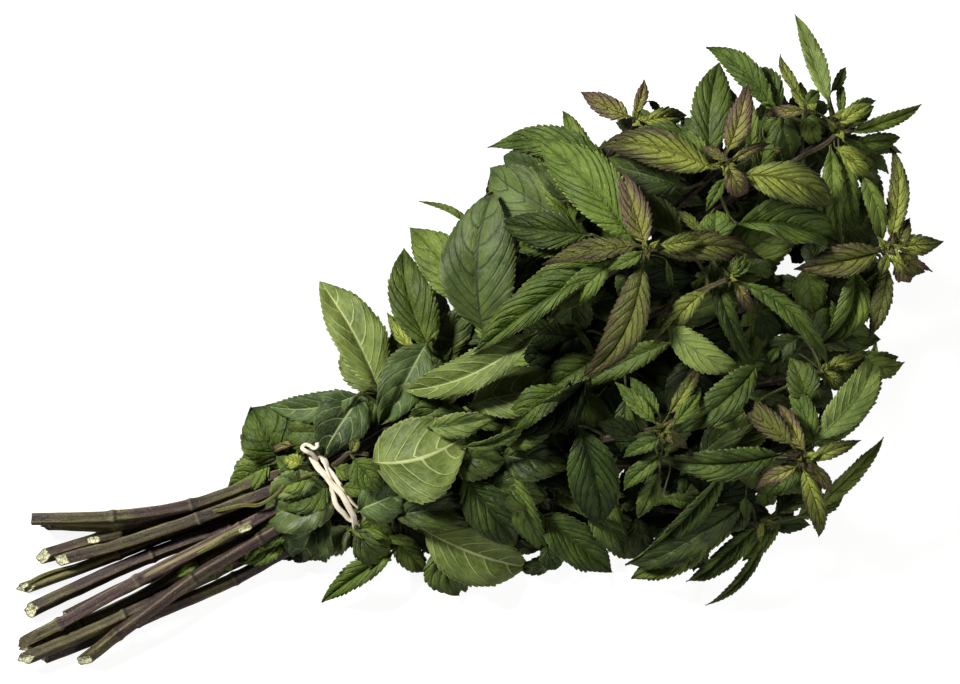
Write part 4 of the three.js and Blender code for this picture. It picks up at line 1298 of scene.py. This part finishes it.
# A slot name, other than "leaf", for the leaves of these looks.
SLOT_NAMES = {"under": "leaf_underside", "young": "young_leaf", "purple": "young_leaf",
              "tawny": "young_leaf"}
for leaf_number, table_row in enumerate(LEAVES, 1):
    node_name = f"leaf_{leaf_number:02d}"
    table_row = leaf_row(*table_row)
    leafy("mint_" + node_name, [table_row], SLOT_NAMES.get(table_row[-1], "leaf"), node_name)


BUD_TURN = 2.4  # radians from each little leaf of a whorl to the next


def bud_rows(name):
    """Little upright leaves in a whorl round a shoot tip, the inner ones shorter and steeper."""
    if name not in BUDS:
        return []
    spot_, way, count, size = BUDS[name]
    chance = random.Random(name + " bud")
    way = Vector(way).normalized()
    aside = way.orthogonal().normalized()
    rows = []
    for k in range(count):
        share = (k + 1) / count
        around = k * BUD_TURN + chance.uniform(-0.3, 0.3)
        out = aside * math.cos(around) + way.cross(aside) * math.sin(around)
        lean = mix(0.15, 1.1, share)
        length = size * mix(0.55, 1.1, share) * chance.uniform(0.85, 1.15)
        base = Vector(spot_) + out * 0.5
        tip = base + (way * math.cos(lean) + out * math.sin(lean)) * length
        look = chance.choice(("young", "bright", "purple", "bright"))
        rows.append((tuple(base), tuple(tip), length * 0.42, length * 0.12, 0, 0, 24, look))
    return rows


for group_name, group_rows in GROUPS.items():
    slot_name = "young_leaf" if group_name.endswith("tip") else "leaf"
    leafy(group_name, [leaf_row(*row) for row in group_rows] + bud_rows(group_name), slot_name)


ROUGH_COLUMNS = 6  # of the coarse blade that clashes are looked for on


def rough_leaf(row):
    """A leaf's smooth blade as a few points and a search tree, for finding clashes."""
    on_blade = leaf_surface(*row[:7])[0]
    bm = bmesh.new()
    numbered, _ = sheet_grid(bm, ROUGH_COLUMNS, 2)
    points = []
    for vert, column, row_ in numbered:
        share = column / ROUGH_COLUMNS
        vert.co = on_blade(0.08 + share * 0.9, (row_ - 1) * 0.95)
        points.append((share, vert.co.copy()))
    tree_ = BVHTree.FromBMesh(bm)
    bm.free()
    return points, tree_


SHOWN = [rough_leaf(leaf_row(*row)) for rows in (LEAVES, *GROUPS.values()) for row in rows]
GROWN = []
ROOF = [(-60, 22), (-40, 26), (0, 38), (50, 58), (90, 66), (130, 54), (175, 42)]


def roof(x):
    """Height under which an inner leaf may show between the outer ones."""
    for (low_x, low_z), (high_x, high_z) in zip(ROOF, ROOF[1:]):
        if x < high_x:
            return mix(low_z, high_z, max(0, (x - low_x) / (high_x - low_x)))
    return ROOF[-1][1]


ROOF_SHARE = 0.55  # of the roof's height, below which an inner leaf needs no leaf above it
STEM_CLEARANCE = 2.4
LOWEST_LEAF = 0.6  # above the floor, for the middle of a blade
INNER_START = -0.05  # metres along the bunch, where the inner leaves begin
PAIR_SPACING = 11  # in steps along a stem
INNER_TRIES, COVER_TRIES = 14, 16  # at finding room for a leaf


def in_gap(x, y, margin=0):
    return any((x - gx) ** 2 + (y - gy) ** 2 < (r + margin) ** 2 for gx, gy, r in OPEN_GAPS)


def fits(points, tree_):
    """Whether an inner leaf stays within the head, below its roof and clear of what is there."""
    for share, spot_ in points:
        x, y, z = spot_ / MM + MIDDLE
        if not inside(HEAD_EDGE, x, y) or z < LOWEST_LEAF or in_gap(x, y):
            return False
        covered = any(other.ray_cast(spot_, UP)[0] for _, other in SHOWN)
        if not covered and z > ROOF_SHARE * roof(x):
            return False
        if share > 0.2 and NEAR_STEM.find(spot_)[2] < STEM_CLEARANCE * MM:
            return False
    if any(tree_.ray_cast(place((gx, gy, 0)), UP)[0] for gx, gy, _ in OPEN_GAPS):
        return False
    return all(len(tree_.overlap(other)) == 0 for _, other in SHOWN + GROWN)


def grow(row, rows):
    """Adds a leaf to the rows if it fits, and says whether it did."""
    rough = rough_leaf(row)
    if not fits(*rough):
        return False
    GROWN.append(rough)
    rows.append(row)
    return True


def inner_rows(name):
    """Leaves in opposite pairs along one stem inside the head, where there is room for them."""
    chance = random.Random(name + " inner")
    route = ROUTES[name]
    rows = []
    first = next(k for k, spot_ in enumerate(route) if spot_.x > INNER_START)
    for k in range(first, len(route) - 10, PAIR_SPACING):
        way, right, up = axes(route[k + 1] - route[k])
        for hand in (-1, 1, 0):
            for _ in range(INNER_TRIES):
                around = math.radians(hand * chance.uniform(50, 150) if hand else
                                      chance.uniform(-45, 45))
                out = right * math.sin(around) + up * math.cos(around)
                lean = math.radians(chance.uniform(35, 75) if hand else chance.uniform(12, 35))
                length = chance.uniform(26, 44)
                base = route[k] / MM + MIDDLE + out * 2.2
                tip = base + (way * math.cos(lean) + out * math.sin(lean)) * length
                tip.z = max(tip.z, chance.uniform(1, 5))
                # The look "inner" among the choices is painted shade.
                row = (tuple(base), tuple(tip), length * chance.uniform(0.36, 0.48),
                       chance.uniform(-2, 4), chance.uniform(-3, 3), chance.uniform(-25, 25),
                       chance.uniform(4, 16), chance.choice(("dark", "dark", "mid", "inner")))
                if grow(row, rows):
                    break
    return rows


for stem_row in STEMS:
    found = inner_rows(stem_row[0])
    if found:
        leafy(stem_row[0] + "_inner_leaves", found, "leaf")


COVER_STEP = 5  # between the places that are looked at in turn, in columns and rows
COVER_COLUMNS, COVER_ROWS = 45, 35
COVER_CORNER = (-48, -82)


def cover_rows():
    """Leaves low in the head wherever the table would still show from above: large ones first,
    then small ones in what is left. All take the look "inner", near-black painted shade."""
    chance = random.Random("cover")
    rows = []
    places = COVER_COLUMNS * COVER_ROWS
    for number in range(2 * places):
        large = number < places
        column, row_ = number // COVER_ROWS % COVER_COLUMNS, number % COVER_ROWS
        x = column * COVER_STEP + COVER_CORNER[0] + chance.uniform(-2.5, 2.5)
        y = row_ * COVER_STEP + COVER_CORNER[1] + chance.uniform(-2.5, 2.5)
        if in_gap(x, y, 0.5) or not inside(HEAD_EDGE, x, y):
            continue
        floor = place((x, y, 0.3))
        if any(other.ray_cast(floor, UP)[0] for _, other in SHOWN + GROWN):
            continue
        for _ in range(COVER_TRIES):
            height = chance.uniform(3, 24)
            goal = Vector((x, y, height))
            root, _, away = NEAR_STEM.find(place(goal))
            root = root / MM + MIDDLE
            way = (goal - root) if away > 6 * MM else Vector((
                chance.uniform(-0.5, 1), chance.uniform(-1, 1), 0))
            way.z = 0
            way = Matrix.Rotation(chance.uniform(-0.7, 0.7), 3, "Z") @ way.normalized()
            length = chance.uniform(26, 40) if large else chance.uniform(13, 24)
            base = goal - way * length * chance.uniform(0.35, 0.6)
            tip = base + way * length
            base.z, tip.z = height + chance.uniform(-1, 5), max(1, height - 4)
            row = (tuple(base), tuple(tip), length * chance.uniform(0.4, 0.5),
                   chance.uniform(0, 4), chance.uniform(-2, 2), chance.uniform(-15, 15),
                   chance.uniform(4, 12), "inner")
            if grow(row, rows):
                break
    return rows


LOW_PIECES = 4
low_rows = cover_rows()
for part in range(LOW_PIECES):
    leafy(f"low_leaves_{part + 1}", low_rows[part::LOW_PIECES], "leaf")


SHOOT_STEP, SHOOT_SIDES = 1.5, 12  # between rings, and round each of them


def side_shoots():
    """Side shoots, stalks and stubs in one piece."""
    piece = Piece()
    skins = {"bark": piece.slot(BARK), "shoot": piece.slot(SHOOT), "stalk": piece.slot(STALK)}
    pith = piece.slot(PITH)
    for points, start_width, end_width, kind, cut in SIDE_SHOOTS:
        line = evenly(curve_points([place(p) for p in points]), SHOOT_STEP * MM)
        last = len(line) - 1

        def skin(k, angle):
            r = mix(start_width, end_width, k / last) / 2 * MM
            r *= 0.96 - 0.08 * math.cos(4 * angle)
            on = 2 * r * math.sin(angle) * max(0, 1 - k / 3) if cut else 0
            return r * math.cos(angle), r * math.sin(angle), on

        _, caps = tube(piece, line, SHOOT_SIDES, skin, skins[kind], tint=(0.3, 0))
        for cap in caps:
            if cut and (cap.calc_center_median() - line[0]).length < 2 * MM:
                open_cut(piece, cap, pith, SHOOT_RIM * MM, SHOOT_DEPTH * MM)
    piece.finish("side_shoots", "stem")


side_shoots()

# ---- rubber band --------------------------------------------------------------------------------

BAND_MIDDLE = (-52.8, -4, 13.2)
BAND_HALF_WIDTH = 17.2
BAND_HALF_HEIGHT = 11.4
BAND_LEAN = 0.13  # along the bunch, for each mm across it
BAND_ROUND = 1080  # degrees round the bunch, in three turns
BAND_TURNED = 900  # degrees that the strand is turned over by then: both of its faces are alike
BAND_STEPS, BAND_SIDES = 260, 12  # rings in its whole length, and sides of the strand
# Degrees round the bunch from its upper edge in the plan, mm along the bunch, mm outwards, degrees
# that the strand is turned over, half its width and half its thickness.
BAND_STRAND = [
    (0, -0.8, 0, 0, 1.05, 0.5), (30, -1.6, 0.6, 0, 1.2, 0.5), (55, -1.5, 0.7, 20, 1.25, 0.45),
    (78, -0.2, 0.9, 30, 1.2, 0.45), (100, 1.3, 1.0, -20, 1.1, 0.45), (125, 1.2, 0.9, 20, 1.1, 0.45),
    (150, -0.6, 0.5, 40, 1.0, 0.5),
    (180, 0.1, 0, 60, 1.0, 0.55), (225, 0.6, 0, 120, 1.0, 0.55), (270, 0.9, 0, 180, 1.0, 0.5),
    (315, 0.9, 0, 180, 1.0, 0.5), (360, 0.8, 0, 180, 1.0, 0.5), (395, 0.6, 0.1, 190, 1.0, 0.5),
    (412, 1.9, 0.3, 210, 1.15, 0.42), (432, 1.0, 0.0, 240, 1.1, 0.42),
    (450, -1.2, -0.1, 300, 1.0, 0.45), (468, -2.3, 0.0, 365, 0.95, 0.5),
    (488, -1.2, -0.2, 400, 1.0, 0.5), (508, 1.0, -0.2, 460, 0.9, 0.5),
    (540, -2.2, 0, 540, 0.9, 0.55), (585, -1.2, 0, 540, 1.0, 0.5), (630, -0.4, 0, 540, 1.0, 0.5),
    (675, -0.6, 0, 540, 1.0, 0.5), (720, -0.3, 0.2, 560, 0.9, 0.5), (765, 0.9, -0.5, 620, 0.8, 0.5),
    (800, 2.2, -0.3, 720, 0.8, 0.45), (825, 3.0, 0.1, 770, 0.9, 0.42),
    (850, 4.2, 0.2, 840, 0.75, 0.42), (880, 4.2, 0, 900, 0.7, 0.5), (920, 2.8, 0, 900, 0.9, 0.5),
    (990, 0.4, 0, 900, 1.0, 0.5), (1040, -0.6, 0, 900, 1.1, 0.5),
]
BAND_CURL = [(-54.6, 8, 22.6), (-55.6, 10.6, 24.6), (-57.2, 12.4, 25.8), (-58, 13.8, 25.2),
             (-56.6, 14.6, 24), (-55.2, 13.6, 24), (-54.2, 12.2, 25), (-52.9, 12.4, 25.8),
             (-52.4, 13.6, 25.6)]


def strand(piece, line, facts, material, closed):
    """A flat strand. For each point, facts gives the way that its face looks, how far it is turned
    over from there, and half its width and half its thickness."""
    count = len(line)

    def skin(k, angle):
        k %= count
        ahead, behind = (line[(k + 1) % count], line[k - 1]) if closed else (
            line[min(k + 1, count - 1)], line[max(k - 1, 0)])
        way, right, up = axes(ahead - behind)
        outward, turn, wide, thick = facts[k]
        outward = (outward - way * outward.dot(way)).normalized()
        aside = way.cross(outward)
        flat = math.copysign(abs(math.cos(angle)) ** 0.7, math.cos(angle)) * wide
        deep = math.copysign(abs(math.sin(angle)) ** 0.7, math.sin(angle)) * thick
        offset = (aside * (flat * math.cos(turn) - deep * math.sin(turn))
                  + outward * (flat * math.sin(turn) + deep * math.cos(turn)))
        return offset.dot(right), offset.dot(up), 0

    tube(piece, line, BAND_SIDES, skin, material, closed)


def band_piece():
    """The band in three flat, twisted turns round the tie, and the curl where it is tucked in."""
    piece = Piece()
    rubber = piece.slot(RUBBER)
    middle = place(BAND_MIDDLE)
    stops = BAND_STRAND + [(BAND_ROUND, *BAND_STRAND[0][1:3], BAND_TURNED, *BAND_STRAND[0][4:])]
    line, facts = [], []
    for step in range(BAND_STEPS):
        goal = BAND_ROUND * step / BAND_STEPS
        k = max(i for i, stop in enumerate(stops) if stop[0] <= goal)
        low, high = stops[k], stops[min(k + 1, len(stops) - 1)]
        share = smooth(low[0], high[0], goal) if high[0] > low[0] else 0
        aside, out, turn, wide, thick = (mix(a, b, share) for a, b in zip(low[1:], high[1:]))
        angle = math.radians(goal)
        across = (BAND_HALF_WIDTH + out) * math.cos(angle)
        rise = (BAND_HALF_HEIGHT + out) * math.sin(angle)
        line.append(middle + Vector((aside - BAND_LEAN * across, across, rise)) * MM)
        outward = Vector((0, math.cos(angle) / BAND_HALF_WIDTH, math.sin(angle) / BAND_HALF_HEIGHT))
        facts.append((outward.normalized(), math.radians(turn), wide * MM, thick * MM))
    strand(piece, line, facts, rubber, True)
    curl = evenly(curve_points([place(p) for p in BAND_CURL]), 0.5 * MM)
    facts = [(Vector((0, 0.3, 1)).normalized(), 0.6 * k / len(curl), 0.75 * MM, 0.4 * MM)
             for k in range(len(curl))]
    strand(piece, curl, facts, rubber, False)
    piece.finish("rubber_band_strands", "rubber_band", "rubber_band")


band_piece()

# ---- floor, light and camera --------------------------------------------------------------------


TABLE_HALF_SIZE = 6  # metres, as are the lamps' and the camera's places
WORLD_LIGHT, WORLD_SEEN = 0.06, 0.93  # strength of the white all round, as light and as backdrop
LAMPS = [("soft_key", (-0.66, 1.1, 1.15), 0.4, 50), ("soft_fill", (0.7, -0.9, 0.85), 0.6, 5),
         ("low_fill", (0.1, -1.3, 0.3), 0.9, 3.5)]  # name, place, diameter, watts
LAMP_COLOUR = (1, 0.985, 0.93)
CAMERA_PLACE = (0.00935, 0.02478, 2.84)
CAMERA_TURN = -22  # degrees, looking straight down
FOCAL_LENGTH, SENSOR_WIDTH = 300, 36


def stage():
    bm = bmesh.new()
    bmesh.ops.create_grid(bm, x_segments=1, y_segments=1, size=TABLE_HALF_SIZE)
    mesh = bpy.data.meshes.new("table_top")
    bm.to_mesh(mesh)
    bm.free()
    mesh.materials.append(floor_material())
    floor = bpy.data.objects.new("table_top", mesh)
    bpy.context.scene.collection.objects.link(floor)

    world = bpy.data.worlds.new("Studio")
    world.use_nodes = True
    background = world.node_tree.nodes["Background"]
    background.inputs["Color"].default_value = (1, 1, 1, 1)
    seen = node(world.node_tree, "LightPath")["Is Camera Ray"]
    feed(seen.fade(0.0, 1.0, WORLD_LIGHT, WORLD_SEEN), background.inputs["Strength"])
    bpy.context.scene.world = world

    for name, where, size, power in LAMPS:
        lamp = bpy.data.lights.new(name, "AREA")
        lamp.shape, lamp.size, lamp.energy, lamp.color = "DISK", size, power, LAMP_COLOUR
        lamp_object = bpy.data.objects.new(name, lamp)
        lamp_object.location = where
        lamp_object.rotation_euler = (-Vector(where)).to_track_quat("-Z", "Y").to_euler()
        bpy.context.scene.collection.objects.link(lamp_object)


def camera():
    lens = bpy.data.cameras.new("view_from_above")
    lens.lens, lens.sensor_width = FOCAL_LENGTH, SENSOR_WIDTH
    lens.clip_start, lens.clip_end = 0.1, 20
    made = bpy.data.objects.new("view_from_above", lens)
    made.location = CAMERA_PLACE
    made.rotation_euler = (0, 0, math.radians(CAMERA_TURN))
    bpy.context.scene.collection.objects.link(made)
    bpy.context.scene.camera = made


stage()
camera()
bpy.context.scene.view_settings.view_transform = "Standard"
